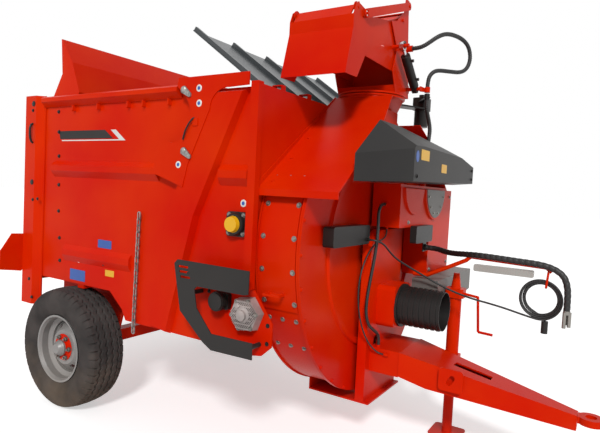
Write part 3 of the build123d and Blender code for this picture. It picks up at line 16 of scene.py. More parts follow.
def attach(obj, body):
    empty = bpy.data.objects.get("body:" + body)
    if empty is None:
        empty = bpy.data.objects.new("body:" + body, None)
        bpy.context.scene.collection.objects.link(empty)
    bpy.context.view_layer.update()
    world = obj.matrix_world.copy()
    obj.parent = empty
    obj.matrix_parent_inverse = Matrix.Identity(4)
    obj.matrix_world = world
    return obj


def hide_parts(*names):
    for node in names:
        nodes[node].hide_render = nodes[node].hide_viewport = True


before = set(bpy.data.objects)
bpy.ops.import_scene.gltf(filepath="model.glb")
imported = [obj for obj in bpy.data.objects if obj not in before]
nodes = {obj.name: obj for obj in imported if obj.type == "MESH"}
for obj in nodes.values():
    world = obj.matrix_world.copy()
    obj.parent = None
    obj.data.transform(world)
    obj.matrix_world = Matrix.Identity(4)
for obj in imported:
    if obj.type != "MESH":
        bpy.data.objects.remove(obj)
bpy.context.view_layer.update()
scene = bpy.context.scene
axle_shift = (-1180.0, 0.0, 0.0)


def metres(points):
    """Millimetres ahead of the axle to metres in the frame: shift along x, then divide by a thousand."""
    return (np.asarray(points, float) + axle_shift) / 1000


# %% [markdown]
# ## Camera
# The viewer stands off the right front corner, slightly above the wheel tops. The camera is set by
# three turns: how far it looks to the left, how far it dips, and how far it leans. Building its
# three axes by hand keeps those three numbers readable.

# %% Camera
eye = (1.797, -2.896, 1.455)
lens_length, film_width = 31.08, 36.0
look_left, look_down, lean = radians(32.10), radians(2.876), radians(2.916)
forward = Vector((-sin(look_left) * cos(look_down), cos(look_left) * cos(look_down), -sin(look_down)))
level_right = Vector((cos(look_left), sin(look_left), 0.0))
level_up = level_right.cross(forward)
camera_right = level_right * cos(lean) + level_up * sin(lean)
camera_up = level_up * cos(lean) - level_right * sin(lean)
camera = bpy.data.objects.new("photo_camera", bpy.data.cameras.new("photo_camera"))
camera_axes = Matrix((camera_right, camera_up, -forward)).transposed().to_4x4()
camera_axes.translation = eye
camera.matrix_world = camera_axes
camera.data.lens = lens_length
camera.data.sensor_width = film_width
scene.collection.objects.link(camera)
scene.camera = camera
print("camera at", tuple(camera.location))

# %% [markdown]
# ## Light
# The machine stands in open daylight: a high sun from behind the viewer's left shoulder, and a pale
# sky that fills the shadows. A sun lamp with a wide disc gives soft shadow edges.

# %% Sun and sky
sun_strength, sun_disc = 2.0, radians(9)
sunlight_way = Vector((-0.42, 0.72, -0.62))
scene.view_settings.view_transform = "Standard"
sun = bpy.data.objects.new("sun", bpy.data.lights.new("sun", "SUN"))
sun.data.energy = sun_strength
sun.data.angle = sun_disc
sun.rotation_euler = sunlight_way.to_track_quat("-Z", "Y").to_euler()
scene.collection.objects.link(sun)
world = bpy.data.worlds.new("pale_sky")
scene.world = world
world.use_nodes = True
print("sunlight runs along", tuple(round(part, 2) for part in sunlight_way))


# %% [markdown]
# Nodes are added by one small helper, so that each material reads as a list of what it is made of.
# The sky is white to the eye but dimmer as a light, which a second helper tells apart by the ray.

# %% Node helpers and the sky's two strengths
def add_node(tree, kind, inputs=None, **settings):
    """A node whose settings are set by name and whose inputs are numbers or sockets to join."""
    made = tree.nodes.new(kind)
    for key, value in settings.items():
        setattr(made, key, value)
    for key, value in (inputs or {}).items():
        if isinstance(value, bpy.types.NodeSocket):
            tree.links.new(value, made.inputs[key])
        else:
            made.inputs[key].default_value = value
    return made


def seen_directly(tree):
    """Socket that is 1 for rays from the eye, a mirror or glass, and 0 for all other light."""
    path = add_node(tree, "ShaderNodeLightPath")
    first = add_node(
        tree,
        "ShaderNodeMath",
        {0: path.outputs["Is Camera Ray"], 1: path.outputs["Is Glossy Ray"]},
        operation="MAXIMUM",
    )
    both = add_node(
        tree,
        "ShaderNodeMath",
        {0: first.outputs[0], 1: path.outputs["Is Transmission Ray"]},
        operation="MAXIMUM",
    )
    return both.outputs[0]


sky_fill = 0.42
sky = world.node_tree
sky_level = add_node(
    sky, "ShaderNodeMapRange", {"Value": seen_directly(sky), "To Min": sky_fill, "To Max": 1.0}
)
sky.nodes["Background"].inputs["Color"].default_value = (1, 1, 1, 1)
sky.links.new(sky_level.outputs[0], sky.nodes["Background"].inputs["Strength"])
print("sky fill", sky_fill)


# %% [markdown]
# ## Floor
# A plain pale floor. It is a little brighter to the eye than to the machine, so that it reads as
# white paper and still keeps the machine's soft shadow.

# %% Floor
def flat_floor(half, depth):
    """A square at a small depth under zero: four corners and one face."""
    mesh = bpy.data.meshes.new("floor")
    corners = [(-half, -half, -depth), (half, -half, -depth), (half, half, -depth), (-half, half, -depth)]
    mesh.from_pydata(corners, [], [(0, 1, 2, 3)])
    return bpy.data.objects.new("floor", mesh)


floor_lift = 0.5
floor = flat_floor(60, 0.001)
scene.collection.objects.link(floor)
floor_finish = bpy.data.materials.new("pale_floor")
floor_finish.use_nodes = True
tree = floor_finish.node_tree
tree.nodes.clear()
matt = add_node(tree, "ShaderNodeBsdfDiffuse", {"Color": (0.82, 0.82, 0.82, 1)})
lift = add_node(
    tree, "ShaderNodeMapRange", {"Value": seen_directly(tree), "To Min": 0.0, "To Max": floor_lift}
)
glow = add_node(tree, "ShaderNodeEmission", {"Strength": lift.outputs[0]})
both = add_node(tree, "ShaderNodeAddShader", {0: matt.outputs[0], 1: glow.outputs[0]})
add_node(tree, "ShaderNodeOutputMaterial", {"Surface": both.outputs[0]})
floor.data.materials.append(floor_finish)
print("floor lifted by", floor_lift, "to the eye")


# %% [markdown]
# ## Finishes
# Sprayed steel, moulded plastic, cast metal and rubber all vary in the same three ways: a slow
# drift of shade over a panel, a fine texture, and field dust that gathers near the ground. One node
# group gives these as three masks, and each finish mixes them with its own colours and strengths.

# %% Masks shared by all finishes
dust_top, dust_full = 0.62, 0.15


def linear(red, green, blue):
    """Screen colour from 0 to 255 to scene-linear: the screen's power curve undone, channel by channel."""
    value = np.array((red, green, blue)) / 255
    straight = np.where(value <= 0.04045, value / 12.92, ((value + 0.055) / 1.055) ** 2.4)
    return (*straight.tolist(), 1.0)


def wear_masks():
    """Group with a broad mask, a fine mask and a dust mask, from the object's own coordinates."""
    group = bpy.data.node_groups.new("wear_masks", "ShaderNodeTree")
    for name in ("Broad Scale", "Fine Scale", "Dust Height"):
        group.interface.new_socket(name, in_out="INPUT", socket_type="NodeSocketFloat")
    for name in ("Broad", "Fine", "Dust"):
        group.interface.new_socket(name, in_out="OUTPUT", socket_type="NodeSocketFloat")
    given = add_node(group, "NodeGroupInput")
    place = add_node(group, "ShaderNodeTexCoord").outputs["Object"]
    broad = add_node(
        group, "ShaderNodeTexNoise", {"Vector": place, "Scale": given.outputs[0], "Detail": 4.0}
    )
    fine = add_node(
        group, "ShaderNodeTexNoise", {"Vector": place, "Scale": given.outputs[1], "Detail": 2.0}
    )
    speck = add_node(group, "ShaderNodeTexNoise", {"Vector": place, "Scale": 9.0, "Detail": 6.0})
    height = add_node(group, "ShaderNodeSeparateXYZ", {0: place}).outputs["Z"]
    ragged = add_node(
        group,
        "ShaderNodeMath",
        {0: speck.outputs["Fac"], 1: 0.5, 2: height},
        operation="MULTIPLY_ADD",
    )
    dust = add_node(
        group,
        "ShaderNodeMapRange",
        {"Value": ragged.outputs[0], "From Min": given.outputs[2], "From Max": dust_full},
    )
    result = add_node(group, "NodeGroupOutput")
    contrast = add_node(
        group, "ShaderNodeMapRange", {"Value": broad.outputs["Fac"], "From Min": 0.35, "From Max": 0.65}
    )
    group.links.new(contrast.outputs[0], result.inputs["Broad"])
    group.links.new(fine.outputs["Fac"], result.inputs["Fine"])
    group.links.new(dust.outputs[0], result.inputs["Dust"])
    return group


masks = wear_masks()
dust_colour = linear(150, 128, 104)
print("group", masks.name, "with", len(masks.nodes), "nodes")


# %% [markdown]
# A finish is two close shades that drift into each other, a roughness range driven by the fine
# mask, a shallow bump from the same mask, and a share of dust. Gloss settings that are the same all
# over are written straight on the shader.

# %% Finish builder
def mix_colour(tree, share, low, high):
    """Colour socket that goes from low to high with the share."""
    mix = add_node(tree, "ShaderNodeMix", {0: share, 6: low, 7: high}, data_type="RGBA")
    return mix.outputs[2]


def finish(name, shades, rough, broad=1.6, fine=140.0, bump=0.08, depth=0.0006, dust=0.25, **gloss):
    """Material from two shades, a roughness range, mask scales, a bump and constant gloss settings."""
    made = bpy.data.materials.new(name)
    made.use_nodes = True
    tree = made.node_tree
    shader = tree.nodes["Principled BSDF"]
    mask = add_node(tree, "ShaderNodeGroup", node_tree=masks)
    for socket, value in (("Broad Scale", broad), ("Fine Scale", fine), ("Dust Height", dust_top)):
        mask.inputs[socket].default_value = value
    shade = mix_colour(tree, mask.outputs["Broad"], linear(*shades[0]), linear(*shades[1]))
    veil = add_node(tree, "ShaderNodeMath", {0: mask.outputs["Dust"], 1: dust}, operation="MULTIPLY")
    tree.links.new(mix_colour(tree, veil.outputs[0], shade, dust_colour), shader.inputs["Base Color"])
    roughness = add_node(
        tree,
        "ShaderNodeMapRange",
        {"Value": mask.outputs["Fine"], "To Min": rough[0], "To Max": rough[1]},
    )
    tree.links.new(roughness.outputs[0], shader.inputs["Roughness"])
    relief = add_node(
        tree, "ShaderNodeBump", {"Strength": bump, "Distance": depth, "Height": mask.outputs["Fine"]}
    )
    tree.links.new(relief.outputs[0], shader.inputs["Normal"])
    for socket, value in gloss.items():
        shader.inputs[socket.replace("_", " ")].default_value = value
    return made


# %% [markdown]
# The paint is an orange red, sprayed and stoved, so it has almost no texture and a soft shine. The
# blacks differ only in grain: paint is smooth, plastic is leathery, rubber is dull.

# %% The machine's finishes
low_sheen = {"Specular_IOR_Level": 0.05}
finishes = {
    "machine_red": finish("machine_red", [(218, 46, 1), (208, 20, 0)], (0.24, 0.34), fine=260.0, bump=0.04,
                          dust=0.08, **low_sheen),
    "tyre_rubber": finish("tyre_rubber", [(58, 55, 54), (78, 73, 71)], (0.72, 0.92), broad=7.0, bump=0.3,
                          dust=0.35, **low_sheen),
    "rim_silver": finish("rim_silver", [(150, 147, 144), (128, 125, 123)], (0.35, 0.55), Metallic=0.25),
    "plain_steel": finish("plain_steel", [(150, 146, 140), (120, 116, 112)], (0.28, 0.45), Metallic=0.85),
    "bearing_yellow": finish("bearing_yellow", [(240, 190, 18), (226, 168, 12)], (0.3, 0.45), dust=0.1),
    "gearbox_aluminium": finish("gearbox_aluminium", [(182, 170, 166), (150, 141, 138)], (0.42, 0.65),
                                broad=14.0, fine=420.0, bump=0.5, dust=0.15, Metallic=0.4),
    "black_paint": finish("black_paint", [(24, 22, 21), (36, 33, 31)], (0.3, 0.5), dust=0.12,
                          Specular_IOR_Level=0.25),
    "black_plastic": finish("black_plastic", [(27, 25, 24), (38, 35, 33)], (0.4, 0.6), fine=520.0,
                            bump=0.35, dust=0.12, Specular_IOR_Level=0.3),
    "sheet_plastic": finish("sheet_plastic", [(46, 50, 52), (66, 70, 72)], (0.25, 0.4), fine=90.0,
                            dust=0.1),
    "grey_plastic": finish("grey_plastic", [(112, 109, 105), (92, 89, 86)], (0.45, 0.6), bump=0.2),
    "lamp_red": finish("lamp_red", [(150, 8, 6), (118, 4, 4)], (0.12, 0.2), dust=0.1, Coat_Weight=0.6),
    "rod_chrome": finish("rod_chrome", [(214, 214, 216), (200, 200, 204)], (0.08, 0.16), bump=0.0,
                         dust=0.0, Metallic=1.0),
    "zinc_plate": finish("zinc_plate", [(168, 166, 160), (122, 122, 120)], (0.32, 0.5), broad=60.0,
                         bump=0.2, Metallic=0.7),
    "hose_rubber": finish("hose_rubber", [(20, 19, 19), (34, 32, 31)], (0.4, 0.6), fine=300.0, bump=0.2,
                          dust=0.05),
    "clear_sleeve": finish("clear_sleeve", [(178, 176, 170), (150, 148, 142)], (0.2, 0.35), dust=0.0),
    "label_blue": finish("label_blue", [(40, 92, 176), (34, 80, 160)], (0.3, 0.4), dust=0.05),
    "label_white": finish("label_white", [(232, 232, 228), (214, 214, 210)], (0.3, 0.4), dust=0.05),
}
print(len(finishes), "finishes")

# %% [markdown]
# Every solid gets its finish by name; what isn't listed is painted like the rest of the machine.

# %% Dress the solids
dressed = {
    "tyre_rubber": ["tyre_right", "tyre_left"],
    "rim_silver": ["rim_right", "rim_left"],
    "plain_steel": ["hose_plugs", "floor_conveyor"],
    "bearing_yellow": ["rotor_bearings"],
    "gearbox_aluminium": ["conveyor_gearbox"],
    "black_paint": ["hydraulic_motor", "ram_barrel", "slew_motor", "control_boxes"],
    "black_plastic": ["drive_guard_right", "belt_guard", "pto_guard", "cable_plug"],
    "grey_plastic": ["drive_guard_left"],
    "sheet_plastic": ["rotor_cover"],
    "lamp_red": ["rear_lamps"],
    "rod_chrome": ["ram_rod"],
    "zinc_plate": ["storage_chain"],
    "hose_rubber": ["hose_loop", "hose_rise", "mast_hoses", "mast_cable", "cable_coil", "down_cable",
                    "down_hose"],
}
finish_of = {node: name for name, members in dressed.items() for node in members}
for name, solid in nodes.items():
    solid.data.materials.clear()
    solid.data.materials.append(finishes[finish_of.get(name, "machine_red")])
print(len(finish_of), "solids differ from the paint")


# %% [markdown]
# ## Shapes
# New pieces are grids of points: a profile turned round an axis, an outline given a thickness, or a
# section carried along a path. Each helper returns points and faces. A bolt, a cap or a pin is a
# profile turned round its own axis, then stood where it belongs.

# %% Turned shapes
def grid_faces(rows, columns, round_rows=False):
    """Four-cornered faces of a grid whose columns close on themselves, and its rows too if asked."""
    row = np.arange(rows if round_rows else rows - 1)[:, None]
    column = np.arange(columns)[None, :]
    after, beside = (row + 1) % rows, (column + 1) % columns
    corners = [row * columns + column, row * columns + beside, after * columns + beside,
               after * columns + column]
    return np.stack(np.broadcast_arrays(*corners), axis=-1).reshape(-1, 4)


def turned(profile, sides=20):
    """A profile of (radius, height) turned round z: radius times cosine and sine, height kept."""
    radius, height = np.array(profile, float).T
    angle = np.linspace(0, 2 * np.pi, sides, endpoint=False)
    x = radius[:, None] * np.cos(angle)
    y = radius[:, None] * np.sin(angle)
    z = np.broadcast_to(height[:, None], x.shape)
    return np.stack([x, y, z], axis=-1).reshape(-1, 3), grid_faces(len(radius), sides).tolist()


def stood(shape, place, facing):
    """A shape turned from z to the facing direction and moved to its place."""
    points, faces = shape
    turn = np.array(Vector(facing).to_track_quat("Z", "Y").to_matrix())
    return points @ turn.T + np.asarray(place, float), faces


# %% [markdown]
# A plate, a label or a strap is an outline with a thickness. Most outlines are boxes with rounded
# corners, because a sharp corner is rare on anything that a hand can touch.

# %% Plates
def slab(outline, face, thick, axis):
    """An outline in the two other directions, given a thickness along the axis from its face."""
    flat = np.array(outline, float)
    across = [place for place in range(3) if place != axis]
    points = np.zeros((2, len(flat), 3))
    points[:, :, across] = flat
    points[0, :, axis] = face
    points[1, :, axis] = face + thick
    count = len(flat)
    sides = grid_faces(2, count).tolist()
    return points.reshape(-1, 3), sides + [list(range(count)), list(range(count, 2 * count))]


def rounded(left, low, right, high, corner, steps=5):
    """Outline of a box with rounded corners: a quarter circle round each of four centres."""
    quarter = np.linspace(0, np.pi / 2, steps)
    centres = ((right, high), (left, high), (left, low), (right, low))
    points = []
    for index, (x, z) in enumerate(centres):
        across, up = (-1 if index in (0, 3) else 1), (-1 if index < 2 else 1)
        angle = quarter + index * np.pi / 2
        centre = np.array((x + across * corner, z + up * corner))
        points.append(centre + corner * np.stack([np.cos(angle), np.sin(angle)], axis=-1))
    return np.concatenate(points)


# %% [markdown]
# A bent rod or a hose is a round section carried along a path. The section is kept from twisting by
# taking each step's side direction from the one before it.

# %% Rods and hoses
def path_frames(path):
    """Two directions square to the path at each point, carried along it without twist."""
    path = np.asarray(path, float)
    run = np.gradient(path, axis=0)
    run /= np.linalg.norm(run, axis=1)[:, None]
    side = np.cross(run[0], (0.3, 0.2, 0.9))
    sides = []
    for direction in run:
        side = side - direction * np.dot(side, direction)
        side = side / np.linalg.norm(side)
        sides.append(side)
    sides = np.array(sides)
    return sides, np.cross(run, sides)


def tube(path, radius, sides=12, ridge=0.0, pitch=1.0):
    """A round section carried along a path; a ridge of that height winds round it once a pitch."""
    path = np.asarray(path, float)
    first, second = path_frames(path)
    along = np.concatenate([[0], np.cumsum(np.linalg.norm(np.diff(path, axis=0), axis=1))])
    angle = np.linspace(0, 2 * np.pi, sides, endpoint=False)
    wave = np.cos(angle[None, :] - 2 * np.pi * along[:, None] / pitch)
    size = radius + ridge * np.clip(2 * wave + 0.6, -1, 1)
    size[0] = size[-1] = radius * 0.999
    ring = np.cos(angle)[None, :, None] * first[:, None] + np.sin(angle)[None, :, None] * second[:, None]
    points = path[:, None] + size[..., None] * ring
    count, last = len(path), (len(path) - 1) * sides
    faces = grid_faces(count, sides).tolist()
    return points.reshape(-1, 3), faces + [list(range(sides)), list(range(last, last + sides))]


# %% [markdown]
# Shapes of one finish are joined into one object, because hundreds of small objects are slow to
# export. Doubles are merged first, then the faces are turned outwards, and edges sharper than a
# given angle stay sharp.

# %% Joining shapes into a piece
def piece(name, shapes, look, body, smooth=35.0, scale=metres):
    """One object from several shapes: points joined, doubles merged, faces outwards, sharp edges kept."""
    points, faces, start = [], [], 0
    for shape_points, shape_faces in shapes:
        points.append(shape_points)
        faces += [[corner + start for corner in face] for face in shape_faces]
        start += len(shape_points)
    mesh = bpy.data.meshes.new(name)
    mesh.from_pydata(scale(np.concatenate(points)).tolist(), [], faces)
    work = bmesh.new()
    work.from_mesh(mesh)
    bmesh.ops.remove_doubles(work, verts=work.verts, dist=1e-6)
    bmesh.ops.dissolve_degenerate(work, edges=work.edges, dist=1e-6)
    bmesh.ops.recalc_face_normals(work, faces=work.faces)
    for edge in work.edges:
        edge.smooth = len(edge.link_faces) == 2 and edge.calc_face_angle() < radians(smooth)
    for face in work.faces:
        face.smooth = True
    work.to_mesh(mesh)
    work.free()
    made = bpy.data.objects.new(name, mesh)
    scene.collection.objects.link(made)
    mesh.materials.append(finishes[look])
    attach(made, body)
    print(name, len(mesh.polygons), "faces")
    return made


# %% [markdown]
# ## Tyres
# The tyres are ribbed implement tyres: zigzag grooves run round the tread, and the shoulders are
# cut into lugs. The section is a short table of (across, radius), smoothed, and the tread is a
# depth that is taken off it, worked out from the distance across and the angle round the wheel.

# %% Tyre surface
tyre_section = [(-84, 201), (-97, 206), (-112, 222), (-127, 258), (-132, 290), (-129, 322), (-119, 347),
                (-103, 366), (-60, 375), (0, 378), (60, 375), (103, 366), (119, 347), (129, 322),
                (132, 290), (127, 258), (112, 222), (97, 206), (84, 201)]
tyre_track = 848.0
axle_height = 380.0
around_count, tread_count, wall_count = 560, 95, 22
shoulder_points, shoulder_width = [7, 11], 18
groove_places = (-62.0, -21.0, 21.0, 62.0)
groove_half, groove_depth, groove_edge = 5.5, 9.0, 2.5
zigzag, waves = 6.5, 46
lugs_from_centre, lugs_from_radius, slot_share, slot_edge = 76, 336, 0.62, 0.16
tread_from_radius, tread_rise = 330, 2


def tyre_shape(side):
    """Section points by arc length, then radius less groove depth turned round the axle."""
    table = np.array(tyre_section, float)
    lengths = np.concatenate([[0], np.cumsum(np.linalg.norm(np.diff(table, axis=0), axis=1))])
    crown = np.interp(shoulder_points, np.arange(len(table)), lengths)
    start, end = crown[0] - shoulder_width, crown[1] + shoulder_width
    samples = np.concatenate([
        np.linspace(0, start, wall_count, endpoint=False),
        np.linspace(start, end, tread_count, endpoint=False),
        np.linspace(end, lengths[-1], wall_count),
    ])
    across, radius = (np.interp(samples, lengths, column) for column in table.T)
    for _ in range(4):
        across[1:-1] = (across[:-2] + 2 * across[1:-1] + across[2:]) / 4
        radius[1:-1] = (radius[:-2] + 2 * radius[1:-1] + radius[2:]) / 4
    angle = np.linspace(0, 2 * np.pi, around_count, endpoint=False)
    wave = np.abs((angle * waves / (2 * np.pi)) % 1 - 0.5) * 4 - 1
    depth = np.zeros((len(across), around_count))
    for place in groove_places:
        away = np.abs(across[:, None] - place - zigzag * wave[None, :])
        depth = np.maximum(depth, np.clip((groove_half - away) / groove_edge + 0.5, 0, 1))
    outside = np.clip((np.abs(across) - lugs_from_centre) / 6, 0, 1)
    shoulder = outside * np.clip((radius - lugs_from_radius) / 10, 0, 1)
    slots = np.clip((np.abs(wave) - slot_share) / slot_edge, 0, 1) * (wave > 0)
    depth = np.maximum(depth, shoulder[:, None] * slots[None, :])
    tread = np.clip((radius - tread_from_radius) / 12, 0, 1)[:, None]
    size = radius[:, None] + tread * tread_rise - groove_depth * depth * tread
    x = size * np.cos(angle)
    z = axle_height + size * np.sin(angle)
    y = np.broadcast_to(across[:, None] + side * tyre_track, x.shape)
    points = np.stack([x, y, z], axis=-1).reshape(-1, 3)
    return points, grid_faces(len(across), around_count, round_rows=True).tolist()


for side, wheel in ((-1, "wheel_right"), (1, "wheel_left")):
    tyre = piece("tread_" + wheel, [tyre_shape(side)], "tyre_rubber", wheel, smooth=50)
    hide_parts("tyre_right" if side < 0 else "tyre_left")

# %% [markdown]
# ## Hubs
# A red hub closes the middle of each silver disc, held by a ring of nuts on studs.

# %% Hubs and wheel nuts
hub_reach, nut_circle, nut_count = 64.5, 69, 6
nut_turns = np.radians(np.arange(nut_count) * 60)
hub_profile = [(0, 36), (20, 35), (38, 30), (49, 21), (53, 6), (60, 2), (84, 2), (85, 0), (0, 0)]
nut_profile = [(0, 26), (7, 26), (8, 24), (8, 15), (13, 15), (15, 12), (15, 0), (0, 0)]
for side, wheel in ((-1, "wheel_right"), (1, "wheel_left")):
    outer = side * (tyre_track + hub_reach)
    facing = (0, side, 0)
    piece("hub_cap_" + wheel, [stood(turned(hub_profile, 40), (0, outer, axle_height), facing)],
          "machine_red", wheel)
    ring = [(nut_circle * cos(turn), outer + side * 2, axle_height + nut_circle * sin(turn))
            for turn in nut_turns]
    piece("wheel_nuts_" + wheel, [stood(turned(nut_profile, 6), spot, facing) for spot in ring],
          "plain_steel", wheel)


# %% [markdown]
# ## Bolts
# A bolt head is the same profile turned with six sides, over a washer turned with more. All bolts
# of one kind are joined into one piece, because a shape repeated so often has to stay light.

# %% Bolt heads
def bolt(size):
    """Six-sided head on a round washer; the size is the head's radius."""
    head = turned([(0, size * 0.95), (size * 0.82, size * 0.95), (size, size * 0.75), (size, 0), (0, 0)], 6)
    washer = turned([(0, size * 0.2), (size * 1.35, size * 0.2), (size * 1.45, 0), (0, 0)], 14)
    return head, washer


def bolts(name, spots, facing, size, look="black_paint", body="machine"):
    """One piece from a bolt at each spot, all facing one way."""
    shapes = [stood(part, spot, facing) for spot in spots for part in bolt(size)]
    return piece(name, shapes, look, body)


# %% [markdown]
# Both sides of the hopper carry the same bolts: black ones down the panel behind the rear post, on
# the post and on the drive plate, and four steel ones round each rotor bearing.

# %% Bolts on the hopper's sides
panel_face, post_face, drive_plate_face, flange_face = 850, 894, 858, 868.3
rotor_x, rotor_height, bearing_bolt = 1327, 1270, 46
panel_spots = [(-214, 1890), (-206, 1758), (-199, 1600), (-192, 1412), (-187, 1239), (-170, 1063),
               (-159, 914), (292, 940)]
post_spots = [(-415, 1302), (-358, 1310), (-436, 1900), (-436, 760), (-400, 640)]
plate_spots = [(1160, 905), (1160, 675), (1300, 655), (1545, 700), (1545, 790)]
for side, word in ((-1, "right"), (1, "left")):
    face = (0, side, 0)
    bolts("panel_bolts_" + word, [(x, side * panel_face, z) for x, z in panel_spots], face, 9)
    bolts("post_bolts_" + word, [(x, side * post_face, z) for x, z in post_spots], face, 8)
    bearing = [(rotor_x + bearing_bolt * across, side * flange_face, rotor_height + bearing_bolt * up)
               for across in (-1, 1) for up in (-1, 1)]
    bolts("bearing_bolts_" + word, bearing, face, 9, "plain_steel")
    bolts("drive_plate_bolts_" + word, [(x, side * drive_plate_face, z) for x, z in plate_spots], face, 8)

# %% [markdown]
# The rotor turns in flange bearings: a black casting on four steel bolts, with a yellow dust cap.

# %% Bearing flanges
flange_half, flange_corner, flange_back, flange_thick = 62.6, 19, 851.3, 17
collar_base = 867
collar_profile = [(43, 25), (52, 25), (57, 18), (60, 0), (43, 0), (43, 25)]
flange_outline = rounded(rotor_x - flange_half, rotor_height - flange_half, rotor_x + flange_half,
                         rotor_height + flange_half, flange_corner)
for side, word in ((-1, "right"), (1, "left")):
    flange = slab(flange_outline, side * flange_back, side * flange_thick, 1)
    collar_place = (rotor_x, side * collar_base, rotor_height)
    collar = stood(turned(collar_profile, 40), collar_place, (0, side, 0))
    piece("bearing_flange_" + word, [flange, collar], "black_paint", "machine")

# %% [markdown]
# The drum's front plate is bolted all round its rim, below the two sloping hoods. A circle of spots
# is worked out as whole arrays, and those that the hoods would cover are dropped by a comparison.

# %% Rim bolts
drum_height, rim_circle, rim_face, bolt_pitch = 1151.0, 846.0, 1709.0, 11.25
hood_foot, hood_slope, hood_edge, hood_room = 1456, 0.767, 850, 40
rim_turns = np.radians(np.arange(0, 360, bolt_pitch))
rim_spots = np.stack([np.full(rim_turns.shape, rim_face), rim_circle * np.cos(rim_turns),
                      drum_height + rim_circle * np.sin(rim_turns)], axis=-1)
hood_heights = hood_foot + hood_slope * (hood_edge - np.abs(rim_spots[:, 1]))
below_hood = rim_spots[:, 2] < hood_heights - hood_room
bolts("drum_rim_bolts", rim_spots[below_hood], (1, 0, 0), 9, "machine_red")


# %% [markdown]
# On the drum's round flank a bolt faces straight out from the drum's axis, so its place and its
# direction both come from one angle. The hatch is held by two rows of four.

# %% Flank, hatch and hood bolts
def flank_bolts(name, radius, turn, places, size):
    """Bolts along one line of the flank: radius times cosine out, radius times sine up."""
    spots = [(x, -radius * cos(turn), drum_height + radius * sin(turn)) for x in places]
    return bolts(name, spots, (0, -cos(turn), sin(turn)), size, "plain_steel")


flank_radius, hatch_radius = 838, 846
for index, turn in enumerate(np.radians((-36, -24, 26))):
    flank_bolts(f"drum_flank_bolts_{index}", flank_radius, turn, (1490, 1570, 1650), 9)
hatch_spots = [(x, turn) for turn in np.radians((-17, -6, 5, 16)) for x in (1482, 1662)]
for index, (x, turn) in enumerate(hatch_spots):
    flank_bolts(f"hatch_bolt_{index}", hatch_radius, turn, (x,), 10)
hood_bolt_x, hood_tilt, hood_rise = 1492, 0.609, 0.794
for side, word in ((-1, "right"), (1, "left")):
    hood_spots = [(hood_bolt_x, side * out, hood_foot + hood_slope * (hood_edge - out))
                  for out in (800, 640, 480)]
    bolts("hood_bolts_" + word, hood_spots, (0, side * hood_tilt, hood_rise), 8, "machine_red")

# %% [markdown]
# ## Plates and marks on the body
# The side carries small blank plates and round lifting marks in blue and yellow, and a dark band
# with a light line round its end ahead of the rear post. Each is a thin slab, so that its edge
# catches light as a real plate does.

# %% Blank plates
right_panel, label_thick = -850.2, 1.2
plates = {
    "label_blue": [(229, 1040, 356, 1090), (-45, 806, 110, 876)],
    "bearing_yellow": [(306, 872, 388, 910)],
}
for look, boxes in plates.items():
    shapes = [slab(rounded(*box, 4), right_panel, -label_thick, 1) for box in boxes]
    piece("side_plates_" + look, shapes, look, "machine")
dark_band = [(-190, 1711), (-204, 1763), (262, 1763), (338, 1711)]
light_line = [(-170, 1698), (-174, 1705), (396, 1705), (316, 1763), (362, 1763), (452, 1698)]
piece("stripe_band", [slab(dark_band, right_panel, -1.0, 1)], "black_plastic", "machine")
piece("stripe_line", [slab(light_line, right_panel, -1.0, 1)], "label_white", "machine")
dot_profile = [(0, 1.6), (17, 1.6), (19, 0), (0, 0)]
dot_ring = [(0, 2.4), (9, 2.4), (10, 1.6), (0, 1.6)]
brace_face = -892
dots = [(1063, brace_face, 1958), (1067, brace_face, 1880), (934, brace_face, 1560), (1356, -851, 1376),
        (42, -850, 940)]
piece("lifting_marks", [stood(turned(dot_profile, 28), spot, (0, -1, 0)) for spot in dots],
      "label_white", "machine")
piece("lifting_mark_middles", [stood(turned(dot_ring, 24), spot, (0, -1, 0)) for spot in dots],
      "label_blue", "machine")

# %% [markdown]
# ## Pins, plugs and the strap handle
# Two keeper pins with pointed tail plates lock the brace to the rail, beside a bent latch rod. Black
# plugs close the open tube ends, a webbing loop hangs from the rear post as a hand hold, and thin
# slanted tabs hold the rail's edge.

# %% Pins, plugs and strap
pin_profile = [(0, 15), (9, 14), (16, 11), (20, 6), (21, 1), (21, 0), (0, 0)]
pins = [(958, brace_face, 1955), (972, brace_face, 1632)]
tail = [(-18, -12), (8, 20), (54, -22), (52, -38), (40, -40)]
keepers = [stood(turned(pin_profile, 24), spot, (0, -1, 0)) for spot in pins]
keepers += [slab([(x + across, z + up) for across, up in tail], y, -9, 1) for x, y, z in pins]
piece("keeper_pins", keepers, "zinc_plate", "machine")
latch_path = [(1038, -892, 1806), (1034, -902, 1800), (1014, -906, 1776), (990, -906, 1740),
              (978, -904, 1712), (970, -902, 1692)]
piece("brace_latch", [tube(latch_path, 4.5, 10)], "black_plastic", "machine", smooth=60)
latch_tab = slab(rounded(1030, 1764, 1066, 1806, 5), brace_face - 0.2, -5, 1)
piece("latch_tab", [latch_tab], "machine_red", "machine")
plug_profile = [(0, 5), (15, 5), (18, 3), (18, 0), (0, 0)]
plugs = [(-430, -post_face, 1945), (-430, -post_face, 1420)]
piece("post_plugs", [stood(turned(plug_profile, 24), spot, (0, -1, 0)) for spot in plugs],
      "black_plastic", "machine")
strap_path = [(-436, -893, 1812), (-436, -906, 1806), (-436, -914, 1780), (-434, -915, 1746),
              (-432, -913, 1712), (-431, -905, 1690), (-431, -893, 1685)]
piece("strap_handle", [tube(strap_path, 7, 10)], "black_plastic", "machine", smooth=60)
tab_top, tab_foot, tab_width, tab_reach = 1921, 1884, 9, 26
